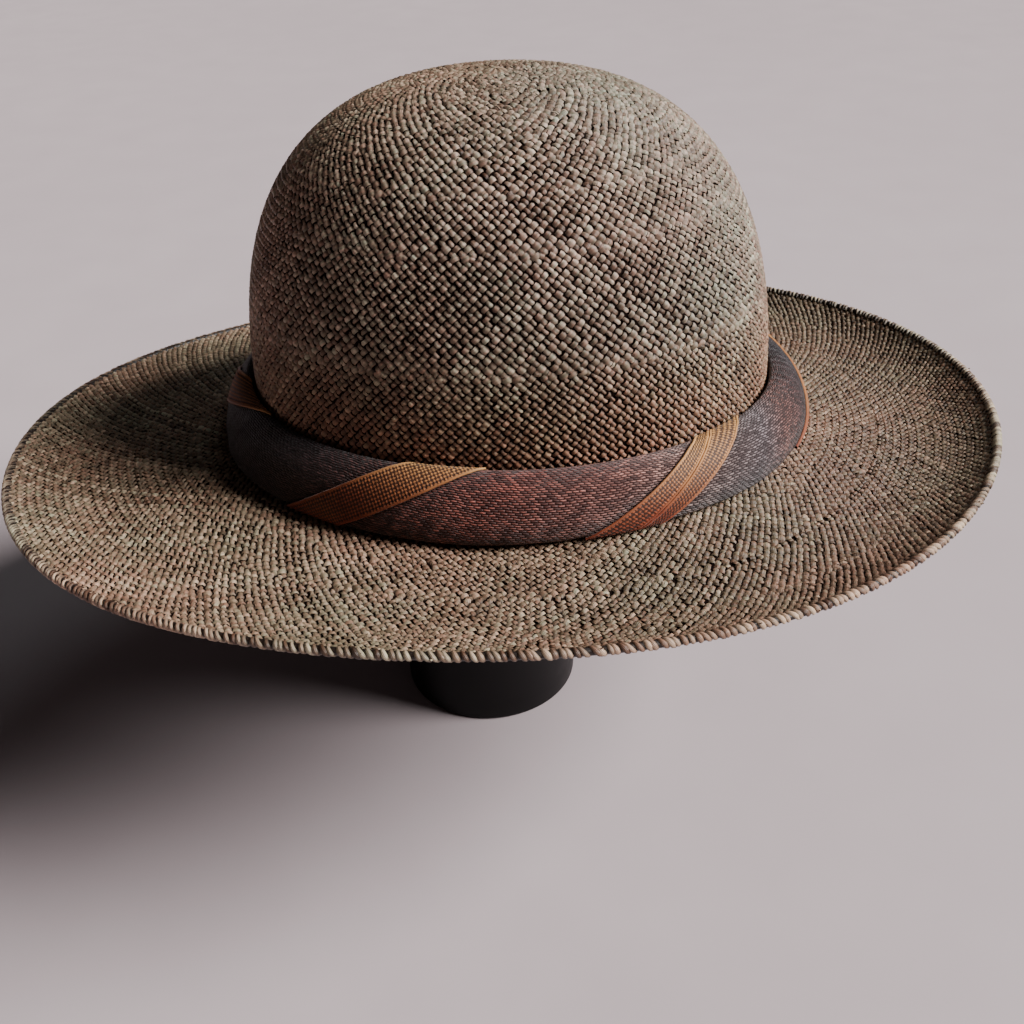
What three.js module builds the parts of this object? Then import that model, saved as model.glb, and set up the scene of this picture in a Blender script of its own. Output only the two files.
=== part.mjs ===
// A round-crowned straw hat with a wide brim and a twisted band, resting on a plain round stand.
//
// Millimetres, +Z up. The origin is the centre of the stand's foot, on the floor.
// +X points to the end of the hat where the brim curls up most, -Y to the side seen in front.
// Angles run from +X towards +Y. The hat's level sections are ellipses that share one centre line.

import * as THREE from "three";

// The hat's main sizes.
const HEAD_LENGTH = 200;
const HEAD_WIDTH = 169.4;
const CROWN_HEIGHT = 129;
const BRIM_LENGTH = 387.2;
const BRIM_WIDTH = 332.8;
const STRAW_WALL = 2;

// Where the hat sits over the stand, and how its parts are shifted along X.
const CROWN_FOOT_HEIGHT = 137;
const CROWN_CENTRE_X = 15.6;
const CROWN_TOP_SHIFT = -1.4;
const BRIM_SHIFT = -6.6;

// The crown's upright section is a superellipse: a higher value is squarer.
const CROWN_SIDE_POWER = 2.565;
const CROWN_TOP_POWER = 2.824;

// The turn between crown and brim, and the plaited rim.
const TURN_RADIUS = 8;
const RIM_BEAD = 0.7;
const RIM_BEAD_WIDTH = 6;

// How far the brim dips between turn and rim, and how its fall or rise gathers towards the rim.
const BRIM_DIP = 4.5;
const BRIM_DIP_SWING = 1.5;
const BRIM_RISE_POWER = 1.6;
const BRIM_RIM_LEVEL = -1;
const BRIM_RIM_WAVES = [
  { turns: 1, cosine: 3.0, sine: -10.8 },
  { turns: 2, cosine: 0.5, sine: 2.4 },
  { turns: 3, cosine: 0.1, sine: 1.3 },
  { turns: 4, cosine: 0.8, sine: -0.9 },
];

// Steps round the hat and along each stretch of its section.
const ROUND_STEPS = 64;
const CROWN_STEPS = 13;
const TURN_STEPS = 3;
const BRIM_STEPS = 8;
const RIM_STEPS = 4;

// Pieces that touch keep this gap.
const GAP = 0.3;

// The band's section: out from the crown's wall and up from the crown's foot.
// It follows the turn at its inner corner, which bandSection adds.
const BAND_FACE = [
  { out: 12.2, up: 0.4 },
  { out: 14.4, up: 1.6 },
  { out: 15.0, up: 4.0 },
  { out: 14.6, up: 7.5 },
  { out: 13.2, up: 11.5 },
  { out: 10.8, up: 15.5 },
  { out: 7.4, up: 18.8 },
  { out: 3.8, up: 20.5 },
  { out: 1.3, up: 20.3 },
  { out: 0.5, up: 18.6 },
  { out: 0.4, up: 13.5 },
];
const BAND_THICKNESS = 15;
const BAND_HEIGHT = 20.5;

// The band swells between the strips, is thicker on one side and higher on another,
// and is drawn in where the twist is tightest. Directions are degrees from the right.
const BAND_FOLDS = 6;
const BAND_FOLD_DEPTH = 0.7;
const BAND_FOLD_LEAN = 2;
const BAND_SWING = 1.5;
const BAND_SWING_TOWARDS = -30;
const BAND_PINCH = 1.7;
const BAND_PINCH_AT = 12;
const BAND_PINCH_SPAN = 32;
const BAND_RISE = 2.8;
const BAND_RISE_TOWARDS = -150;

// Each strip winds up the band's face from its foot to its head, in degrees from the front.
// The upper and lower edges are given, and bow pushes the middle of both edges onward.
const STRIP_THICKNESS = 1;
const STRIP_FIRST_ROW = 1;
const STRIP_LAST_ROW = 8;
const STRIP_STEPS_PER_ROW = 2;
const STRIP_STEPS_ACROSS = 4;
const STRIPS = [
  { upperFoot: -122, upperHead: -80, lowerFoot: -106, lowerHead: -60, bow: 0 },
  { upperFoot: -48, upperHead: -20, lowerFoot: -36, lowerHead: -6, bow: 0 },
  { upperFoot: 8, upperHead: 38, lowerFoot: 17.2, lowerHead: 41.2, bow: 0 },
  { upperFoot: 18.2, upperHead: 42, lowerFoot: 21.4, lowerHead: 51, bow: 0 },
  { upperFoot: 52, upperHead: 138, lowerFoot: 65, lowerHead: 151, bow: 11 },
  { upperFoot: 130, upperHead: 166, lowerFoot: 146, lowerHead: 182, bow: 0 },
  { upperFoot: 184, upperHead: 220, lowerFoot: 200, lowerHead: 236, bow: 0 },
];

// The stand: a turned column with a rounded top that carries the crown.
const STAND_FOOT_RADIUS = 38.4;
const STAND_NECK_RADIUS = 34;
const STAND_EDGE = 1.5;
const STAND_DOME_RADIUS = 55;
const STAND_TOP_ROOM = 0.9;
const STAND_STEPS_ROUND = 40;
const STAND_DOME_STEPS = 6;

// Finishes.
const STRAW = new THREE.MeshStandardMaterial({ color: 0x7a6c58, roughness: 0.75, metalness: 0 });
const RIBBON = new THREE.MeshStandardMaterial({ color: 0x3a2426, roughness: 0.7, metalness: 0 });
const COPPER_STRIP = new THREE.MeshStandardMaterial({ color: 0xa5602e, roughness: 0.6, metalness: 0 });
const BLACK = new THREE.MeshStandardMaterial({ color: 0x131012, roughness: 0.5, metalness: 0 });

const halfLength = HEAD_LENGTH / 2;
const halfWidth = HEAD_WIDTH / 2;
const rimRadius = STRAW_WALL / 2 + RIM_BEAD;
const brimHalfLength = BRIM_LENGTH / 2 - rimRadius;
const brimHalfWidth = BRIM_WIDTH / 2 - rimRadius;

/** A point of an ellipse about the crown's centre line, in the hat's own place. */
function levelPoint(acrossX, acrossY, shiftX, height, angle) {
  return new THREE.Vector3(
    CROWN_CENTRE_X + shiftX + acrossX * Math.cos(angle),
    acrossY * Math.sin(angle),
    CROWN_FOOT_HEIGHT + height,
  );
}

/** The crown's outer face. share is 0 at the middle of the top and 1 at the turn. */
function crownPoint(share, angle) {
  const turnRise = Math.pow(TURN_RADIUS / CROWN_HEIGHT, CROWN_TOP_POWER / 2);
  const lowest = Math.asin(turnRise);
  const lift = THREE.MathUtils.lerp(Math.PI / 2, lowest, Math.pow(share, CROWN_SIDE_POWER / 2));
  const spread = Math.pow(Math.max(Math.cos(lift), 0), 2 / CROWN_SIDE_POWER);
  const height = CROWN_HEIGHT * Math.pow(Math.sin(lift), 2 / CROWN_TOP_POWER);
  const shift = CROWN_TOP_SHIFT * (height / CROWN_HEIGHT);
  return levelPoint(halfLength * spread, halfWidth * spread, shift, height, angle);
}

/** The hollow turn from the crown's wall to the brim. share is 0 at the wall and 1 at the brim. */
function turnPoint(share, angle) {
  const bend = share * (Math.PI / 2);
  const out = TURN_RADIUS * (1 - Math.cos(bend));
  const height = TURN_RADIUS * (1 - Math.sin(bend));
  const shift = CROWN_TOP_SHIFT * (height / CROWN_HEIGHT);
  return levelPoint(halfLength + out, halfWidth + out, shift, height, angle);
}

/** The height of the rim over the crown's foot. */
function rimHeight(angle) {
  let height = BRIM_RIM_LEVEL;
  for (const wave of BRIM_RIM_WAVES) {
    height += wave.cosine * Math.cos(wave.turns * angle);
    height += wave.sine * Math.sin(wave.turns * angle);
  }
  return height;
}

/** The brim's upper face. share is 0 at the turn and 1 at the rim. */
function brimPoint(share, angle) {
  const acrossX = THREE.MathUtils.lerp(halfLength + TURN_RADIUS, brimHalfLength, share);
  const acrossY = THREE.MathUtils.lerp(halfWidth + TURN_RADIUS, brimHalfWidth, share);
  const deepest = 4 / 27;
  const dip = (BRIM_DIP + BRIM_DIP_SWING * Math.cos(angle)) * (share * share * (1 - share)) / deepest;
  const height = rimHeight(angle) * Math.pow(share, BRIM_RISE_POWER) - dip;
  return levelPoint(acrossX, acrossY, BRIM_SHIFT * share, height, angle);
}

/** The outward normal of a face given by a share along its section and an angle round it. */
function faceNormal(face, share, angle) {
  const step = 0.002;
  const before = Math.max(share - step, 0);
  const after = Math.min(share + step, 1);
  const along = face(after, angle).sub(face(before, angle));
  const round = face(share, angle + step).sub(face(share, angle - step));
  const normal = new THREE.Vector3().crossVectors(along, round);
  if (normal.lengthSq() === 0) {
    return new THREE.Vector3(0, 0, 1);
  }
  return normal.normalize();
}

/** How much the plaited rim thickens each side of the straw, at a share along the brim. */
function rimBead(share) {
  const fromRim = (1 - share) * (brimHalfLength - halfLength - TURN_RADIUS);
  const fullness = THREE.MathUtils.clamp(1 - fromRim / RIM_BEAD_WIDTH, 0, 1);
  return RIM_BEAD * Math.sin(fullness * (Math.PI / 2));
}

/** One place on the straw's section: its face, the share along it and the thickening there. */
function strawStations() {
  const stations = [];
  for (let step = 1; step <= CROWN_STEPS; step += 1) {
    stations.push({ face: crownPoint, share: step / CROWN_STEPS, bead: 0 });
  }
  for (let step = 1; step < TURN_STEPS; step += 1) {
    stations.push({ face: turnPoint, share: step / TURN_STEPS, bead: 0 });
  }
  for (let step = 0; step <= BRIM_STEPS; step += 1) {
    const share = step / BRIM_STEPS;
    stations.push({ face: brimPoint, share, bead: rimBead(share) });
  }
  return stations;
}

/** A mesh from points and the corners of its triangles. */
function namedMesh(name, points, index, material) {
  const geometry = new THREE.BufferGeometry();
  const positions = points.flatMap((point) => [point.x, point.y, point.z]);
  geometry.setAttribute("position", new THREE.Float32BufferAttribute(positions, 3));
  geometry.setIndex(index);
  geometry.computeVertexNormals();
  const mesh = new THREE.Mesh(geometry, material);
  mesh.name = name;
  return mesh;
}

/** Adds the triangles between two closed rings that start at the given points. */
function joinRings(index, first, second, count) {
  for (let step = 0; step < count; step += 1) {
    const next = (step + 1) % count;
    index.push(first + step, second + step, first + next);
    index.push(first + next, second + step, second + next);
  }
}

/** Adds a fan from one point to a closed ring. */
function closeRing(index, point, ring, count, upward) {
  for (let step = 0; step < count; step += 1) {
    const next = (step + 1) % count;
    if (upward) {
      index.push(point, ring + step, ring + next);
    } else {
      index.push(point, ring + next, ring + step);
    }
  }
}

/** The angles of the steps round the hat. */
function roundAngles() {
  const angles = [];
  for (let step = 0; step < ROUND_STEPS; step += 1) {
    angles.push((step / ROUND_STEPS) * Math.PI * 2);
  }
  return angles;
}

/** The woven straw: outer face down from the crown's top, round the rim and back up inside. */
function wovenBody() {
  const angles = roundAngles();
  const stations = strawStations();
  const outer = [];
  const inner = [];
  for (const station of stations) {
    const outerRing = [];
    const innerRing = [];
    for (const angle of angles) {
      const point = station.face(station.share, angle);
      const normal = faceNormal(station.face, station.share, angle);
      outerRing.push(point.clone().addScaledVector(normal, station.bead));
      innerRing.push(point.clone().addScaledVector(normal, -STRAW_WALL - station.bead));
    }
    outer.push(outerRing);
    inner.push(innerRing);
  }
  const rim = [];
  for (let step = 1; step < RIM_STEPS; step += 1) {
    const bend = Math.PI / 2 - (step / RIM_STEPS) * Math.PI;
    rim.push(angles.map((angle) => {
      const point = brimPoint(1, angle);
      const normal = faceNormal(brimPoint, 1, angle);
      const outward = point.clone().sub(brimPoint(0.99, angle)).normalize();
      return point
        .addScaledVector(normal, rimRadius * Math.sin(bend) - STRAW_WALL / 2)
        .addScaledVector(outward, rimRadius * Math.cos(bend));
    }));
  }
  const rings = [...outer, ...rim, ...inner.reverse()];
  const index = [];
  for (let row = 0; row + 1 < rings.length; row += 1) {
    joinRings(index, row * ROUND_STEPS, (row + 1) * ROUND_STEPS, ROUND_STEPS);
  }
  const top = crownPoint(0, 0);
  const underTop = top.clone().setZ(top.z - STRAW_WALL);
  const points = [...rings.flat(), top, underTop];
  closeRing(index, points.length - 2, 0, ROUND_STEPS, true);
  closeRing(index, points.length - 1, (rings.length - 1) * ROUND_STEPS, ROUND_STEPS, false);
  return namedMesh("woven_body", points, index, STRAW);
}

/** The band's whole section, with the inner corner that follows the turn. */
function bandSection() {
  const corner = [];
  const reach = TURN_RADIUS - GAP;
  for (let step = 0; step <= TURN_STEPS; step += 1) {
    const bend = (step / TURN_STEPS) * (Math.PI / 2);
    corner.push({
      out: TURN_RADIUS - reach * Math.cos(bend),
      up: TURN_RADIUS - reach * Math.sin(bend),
    });
  }
  return [...BAND_FACE, ...corner];
}

/** How far the band's face swells out, between the strips and on its thicker side. */
function bandSwell(out, up, angle) {
  const front = -Math.PI / 2;
  const lean = BAND_FOLD_LEAN * (up / BAND_HEIGHT - 0.5);
  const fold = BAND_FOLD_DEPTH * Math.cos(BAND_FOLDS * (angle - front) - lean);
  const swing = BAND_SWING * Math.cos(angle - THREE.MathUtils.degToRad(BAND_SWING_TOWARDS));
  const turned = angle - THREE.MathUtils.degToRad(BAND_PINCH_AT);
  const away = THREE.MathUtils.radToDeg(Math.acos(Math.cos(turned)));
  const pinch = BAND_PINCH * Math.exp(-((away / BAND_PINCH_SPAN) ** 2));
  return (fold + swing - pinch) * (out / BAND_THICKNESS);
}

/** How far the band's face rises above its mean height. */
function bandRise(up, angle) {
  const towards = THREE.MathUtils.degToRad(BAND_RISE_TOWARDS);
  return BAND_RISE * Math.cos(angle - towards) * (up / BAND_HEIGHT) ** 2;
}

/** A point of the band's face at a row, which may lie between two, lifted off the face. */
function bandFacePoint(row, angle, lift) {
  const lower = Math.min(Math.floor(row), BAND_FACE.length - 2);
  const share = row - lower;
  const from = BAND_FACE[lower];
  const to = BAND_FACE[lower + 1];
  const lean = new THREE.Vector2(0, 0);
  for (const [place, weight] of [[lower, 1 - share], [lower + 1, share]]) {
    const before = BAND_FACE[Math.max(place - 1, 0)];
    const after = BAND_FACE[Math.min(place + 1, BAND_FACE.length - 1)];
    const along = new THREE.Vector2(after.out - before.out, after.up - before.up).normalize();
    lean.addScaledVector(along, weight);
  }
  lean.normalize();
  const flatOut = THREE.MathUtils.lerp(from.out, to.out, share);
  const flatUp = THREE.MathUtils.lerp(from.up, to.up, share);
  const out = flatOut + bandSwell(flatOut, flatUp, angle) + lift * lean.y;
  const up = flatUp + bandRise(flatUp, angle) - lift * lean.x;
  const shift = CROWN_TOP_SHIFT * (up / CROWN_HEIGHT);
  return levelPoint(halfLength + out, halfWidth + out, shift, up, angle);
}

/** The dark ribbon twisted into one closed ring. */
function bandRoll() {
  const section = bandSection();
  const across = section.length;
  const points = roundAngles().flatMap((angle) => section.map((place, row) => {
    if (row <= STRIP_LAST_ROW) {
      return bandFacePoint(row, angle, 0);
    }
    const up = place.up + bandRise(place.up, angle);
    const shift = CROWN_TOP_SHIFT * (up / CROWN_HEIGHT);
    return levelPoint(halfLength + place.out, halfWidth + place.out, shift, up, angle);
  }));
  const index = [];
  for (let step = 0; step < ROUND_STEPS; step += 1) {
    const nextStep = (step + 1) % ROUND_STEPS;
    joinRings(index, step * across, nextStep * across, across);
  }
  return namedMesh("band_roll", points, index, RIBBON);
}

/** The distance up the band's face to a row, which may lie between two, as a share of the whole. */
function bandRowShare(row) {
  const lengths = [0];
  for (let place = 1; place <= STRIP_LAST_ROW; place += 1) {
    const from = BAND_FACE[place - 1];
    const to = BAND_FACE[place];
    lengths.push(lengths[place - 1] + Math.hypot(to.out - from.out, to.up - from.up));
  }
  const lower = Math.min(Math.floor(row), STRIP_LAST_ROW - 1);
  const length = THREE.MathUtils.lerp(lengths[lower], lengths[lower + 1], row - lower);
  return length / lengths[STRIP_LAST_ROW];
}

/** The two edges of a strip at a row of the band's face, as angles round the hat. */
function stripEdges(strip, row) {
  const share = bandRowShare(row);
  const bow = strip.bow * Math.sin(share * Math.PI);
  const upper = THREE.MathUtils.lerp(strip.upperFoot, strip.upperHead, share) + bow;
  const lower = THREE.MathUtils.lerp(strip.lowerFoot, strip.lowerHead, share) + bow;
  return [upper, lower].map((degrees) => THREE.MathUtils.degToRad(degrees) - Math.PI / 2);
}

/** One copper strip, a thin slab that lies on the band's face. */
function bandStrip(strip, number) {
  const points = [];
  const rowStep = 1 / STRIP_STEPS_PER_ROW;
  for (let row = STRIP_FIRST_ROW; row <= STRIP_LAST_ROW; row += rowStep) {
    const [upper, lower] = stripEdges(strip, row);
    for (let step = 0; step <= STRIP_STEPS_ACROSS; step += 1) {
      const angle = THREE.MathUtils.lerp(upper, lower, step / STRIP_STEPS_ACROSS);
      points.push(bandFacePoint(row, angle, GAP + STRIP_THICKNESS));
      points.push(bandFacePoint(row, angle, GAP));
    }
  }
  const perRow = 2 * (STRIP_STEPS_ACROSS + 1);
  const rows = points.length / perRow;
  const index = [];
  for (let row = 0; row + 1 < rows; row += 1) {
    for (let step = 0; step < STRIP_STEPS_ACROSS; step += 1) {
      const here = row * perRow + 2 * step;
      const above = here + perRow;
      index.push(here, here + 2, above, here + 2, above + 2, above);
      index.push(here + 1, above + 1, here + 3, here + 3, above + 1, above + 3);
    }
    const near = row * perRow;
    const far = near + perRow - 2;
    index.push(near, near + perRow, near + 1, near + 1, near + perRow, near + perRow + 1);
    index.push(far, far + 1, far + perRow, far + 1, far + perRow + 1, far + perRow);
  }
  const last = (rows - 1) * perRow;
  for (let step = 0; step < STRIP_STEPS_ACROSS; step += 1) {
    const foot = 2 * step;
    const head = last + foot;
    index.push(foot, foot + 1, foot + 2, foot + 2, foot + 1, foot + 3);
    index.push(head, head + 2, head + 1, head + 2, head + 3, head + 1);
  }
  return namedMesh(`band_strip_${number}`, points, index, COPPER_STRIP);
}

/** How far the stand's round top falls from its middle to a radius. */
function domeDrop(radius) {
  return STAND_DOME_RADIUS - Math.sqrt(STAND_DOME_RADIUS ** 2 - radius ** 2);
}

/** The stand, turned about its upright axis. */
function stand() {
  const top = CROWN_FOOT_HEIGHT + CROWN_HEIGHT - STRAW_WALL - STAND_TOP_ROOM;
  const profile = [
    new THREE.Vector2(0, 0),
    new THREE.Vector2(STAND_FOOT_RADIUS - STAND_EDGE, 0),
    new THREE.Vector2(STAND_FOOT_RADIUS, STAND_EDGE),
  ];
  for (let step = 0; step <= STAND_DOME_STEPS; step += 1) {
    const radius = STAND_NECK_RADIUS * (1 - step / STAND_DOME_STEPS);
    profile.push(new THREE.Vector2(radius, top - domeDrop(radius)));
  }
  const geometry = new THREE.LatheGeometry(profile, STAND_STEPS_ROUND);
  geometry.rotateX(Math.PI / 2);
  const mesh = new THREE.Mesh(geometry, BLACK);
  mesh.name = "stand";
  return mesh;
}

const hat = new THREE.Group();
hat.add(wovenBody());
hat.add(bandRoll());
STRIPS.forEach((strip, place) => hat.add(bandStrip(strip, place + 1)));
hat.add(stand());

export default hat;
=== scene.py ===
"""A woven straw hat with a twisted band, resting on a plain round stand.

Metres, +Z up. The origin is the centre of the stand's foot, on the floor. +X points to the
end of the hat where the brim curls up most, -Y to the side seen in front. Angles run from
+X towards +Y.
"""

import logging
import math
from dataclasses import dataclass, field
from enum import Enum
from functools import cached_property

import bpy
import numpy as np
from mathutils import Matrix, Vector

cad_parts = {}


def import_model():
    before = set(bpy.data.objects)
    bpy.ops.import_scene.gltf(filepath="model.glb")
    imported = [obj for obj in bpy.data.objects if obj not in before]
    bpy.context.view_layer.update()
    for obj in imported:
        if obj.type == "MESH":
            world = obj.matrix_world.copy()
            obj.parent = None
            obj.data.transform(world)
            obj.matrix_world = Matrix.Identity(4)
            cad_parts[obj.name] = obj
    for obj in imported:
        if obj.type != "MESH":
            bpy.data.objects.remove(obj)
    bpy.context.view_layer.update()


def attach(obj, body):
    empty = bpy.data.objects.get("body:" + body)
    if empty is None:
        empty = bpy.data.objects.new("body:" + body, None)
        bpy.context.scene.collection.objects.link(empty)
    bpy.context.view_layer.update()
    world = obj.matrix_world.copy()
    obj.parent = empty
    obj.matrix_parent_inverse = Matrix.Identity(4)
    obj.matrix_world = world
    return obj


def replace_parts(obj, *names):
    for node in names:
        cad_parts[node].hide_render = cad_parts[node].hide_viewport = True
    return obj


LOG = logging.getLogger("hat")
MM = 0.001
ROOT = "root"
PICTURE_WIDTH = 1024
FULL_TURN = 2.0 * math.pi

Array = np.ndarray
Socket = bpy.types.NodeSocket

# The weight and the relative length of each wave of a random wandering
WANDER_WAVES = ((0.6, 1.0), (0.4, 0.43))
# How much faster or slower than its mean pace a wandering goes
WANDER_PACE = (0.8, 1.25)

# A flat straw's or thread's left edge, middle and right edge
LANES = np.array([-1.0, 0.0, 1.0])


class Lean(Enum):
    """The way a family of straws winds as it runs outward."""

    LEFT = -1
    RIGHT = 1


class Region(Enum):
    """The two stretches of woven straw, each with straws of its own."""

    CROWN = "crown"
    BRIM = "brim"


# Shapes


def smooth_step(share: Array) -> Array:
    """Eases a share that is clipped to 0 and 1."""
    held = np.clip(share, 0.0, 1.0)
    return held * held * (3.0 - 2.0 * held)


def unit(vectors: Array) -> Array:
    """Scales vectors to length 1."""
    length = np.linalg.norm(vectors, axis=-1, keepdims=True)
    return vectors / np.maximum(length, 1e-12)


def wander(rng: np.random.Generator, rows: int, places: Array, length: float) -> Array:
    """Smooth random wandering, one line of it for each row.

    Args:
        rng: The random source.
        rows: How many independent lines.
        places: Distances along every line.
        length: The distance over which a line wanders.

    Returns:
        Values of about -1 to 1, of shape (rows, places).
    """
    total = np.zeros((rows, len(places)))
    for weight, stretch in WANDER_WAVES:
        phase = rng.uniform(0.0, FULL_TURN, (rows, 1))
        pace = rng.uniform(*WANDER_PACE, (rows, 1)) * FULL_TURN / (length * stretch)
        total += weight * np.sin(places[None, :] * pace + phase)
    return total


def ring_angles(steps: int) -> Array:
    """Even angles once round, without the one that closes the ring."""
    return np.linspace(0.0, FULL_TURN, steps + 1)[:-1]


def facing(angle: Array, towards: float, swing: float) -> Array:
    """A share that is 1 on one side of the hat and falls off round it.

    Args:
        angle: The angle of each point round the hat.
        towards: The angle of the side where it is 1.
        swing: Half of what it falls by on the far side.

    Returns:
        The shares.
    """
    return 1.0 - swing + swing * np.cos(angle - towards)


@dataclass(frozen=True)
class Sway:
    """How much something wanders along a straw, and over what distance."""

    amount: float
    length: float

    def along(self, rng: np.random.Generator, rows: int, places: Array) -> Array:
        """The wandering of each row at the given places.

        Args:
            rng: The random source.
            rows: How many independent lines.
            places: Distances along every line.

        Returns:
            Values of about plus or minus the amount, of shape (rows, places).
        """
        return self.amount * wander(rng, rows, places, self.length)


def grid_quads(count: int, along: int, across: int, ring_along: bool = False,
               ring_across: bool = False) -> Array:
    """The quads of equal grids of points that lie one after the other.

    Args:
        count: How many grids.
        along: Points along each grid.
        across: Points across each grid.
        ring_along: True if a grid closes on itself lengthwise.
        ring_across: True if a grid closes on itself crosswise.

    Returns:
        Point numbers, four to a row.
    """
    grid, step, lane = np.meshgrid(
        np.arange(count),
        np.arange(along if ring_along else along - 1),
        np.arange(across if ring_across else across - 1),
        indexing="ij",
    )
    next_step = (step + 1) % along
    next_lane = (lane + 1) % across
    corners = [(step, lane), (next_step, lane), (next_step, next_lane), (step, next_lane)]
    numbers = [(grid * along + s) * across + k for s, k in corners]
    return np.stack(numbers, axis=-1).reshape(-1, 4)


@dataclass
class Surface:
    """Points and quads of one piece, with what its finish needs to know of each point."""

    points: Array
    quads: Array
    place: Array
    marks: dict[str, Array] = field(default_factory=dict)

    @staticmethod
    def joined(parts: list["Surface"]) -> "Surface":
        """One surface made of several that share the same marks.

        Args:
            parts: The surfaces to join.

        Returns:
            The joined surface.
        """
        start = np.cumsum([0] + [len(part.points) for part in parts[:-1]])
        return Surface(
            np.concatenate([part.points for part in parts]),
            np.concatenate([part.quads + first for part, first in zip(parts, start)]),
            np.concatenate([part.place for part in parts]),
            {name: np.concatenate([part.marks[name] for part in parts]) for name in parts[0].marks},
        )

    def turned_out(self, outward: Array) -> "Surface":
        """The same surface with its quads facing a direction that is given for each point.

        Args:
            outward: The outward direction at each point.

        Returns:
            The surface, with its quads turned over if they faced inward.
        """
        a, b, c = (self.points[self.quads[:, corner]] for corner in (0, 1, 2))
        agreement = np.einsum("ij,ij->i", np.cross(b - a, c - b), outward[self.quads[:, 0]])
        if np.sum(agreement) < 0.0:
            return Surface(self.points, self.quads[:, ::-1], self.place, self.marks)
        return self

    def piece(self, name: str, material: bpy.types.Material, slot: str) -> bpy.types.Object:
        """Makes the Blender object, rides it on the body and logs it.

        Args:
            name: The piece's name.
            material: Its finish.
            slot: The record's material slot it stands for.

        Returns:
            The new object.
        """
        mesh = bpy.data.meshes.new(name)
        mesh.vertices.add(len(self.points))
        mesh.vertices.foreach_set("co", self.points.astype(np.float32).ravel())
        corners = self.quads.astype(np.int32).ravel()
        mesh.loops.add(len(corners))
        mesh.loops.foreach_set("vertex_index", corners)
        mesh.polygons.add(len(self.quads))
        mesh.polygons.foreach_set("loop_start", np.arange(0, len(corners), 4, dtype=np.int32))
        mesh.polygons.foreach_set("use_smooth", np.ones(len(self.quads), dtype=bool))
        layer = mesh.uv_layers.new(name="Place")
        layer.data.foreach_set("uv", self.place[corners].astype(np.float32).ravel())
        for mark, values in self.marks.items():
            kind = "FLOAT" if values.ndim == 1 else "FLOAT_COLOR"
            attribute = mesh.attributes.new(mark, kind, "POINT")
            key = "value" if values.ndim == 1 else "color"
            attribute.data.foreach_set(key, values.astype(np.float32).ravel())
        mesh.update(calc_edges=True)
        mesh.materials.append(material)
        made = bpy.data.objects.new(name, mesh)
        bpy.context.scene.collection.objects.link(made)
        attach(made, ROOT)
        LOG.info("%s: %d triangles", name, 2 * len(self.quads))
        return made


@dataclass(frozen=True)
class RimWave:
    """One wave of the rim's height round the hat, in millimetres."""

    turns: int
    cosine: float
    sine: float


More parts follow.
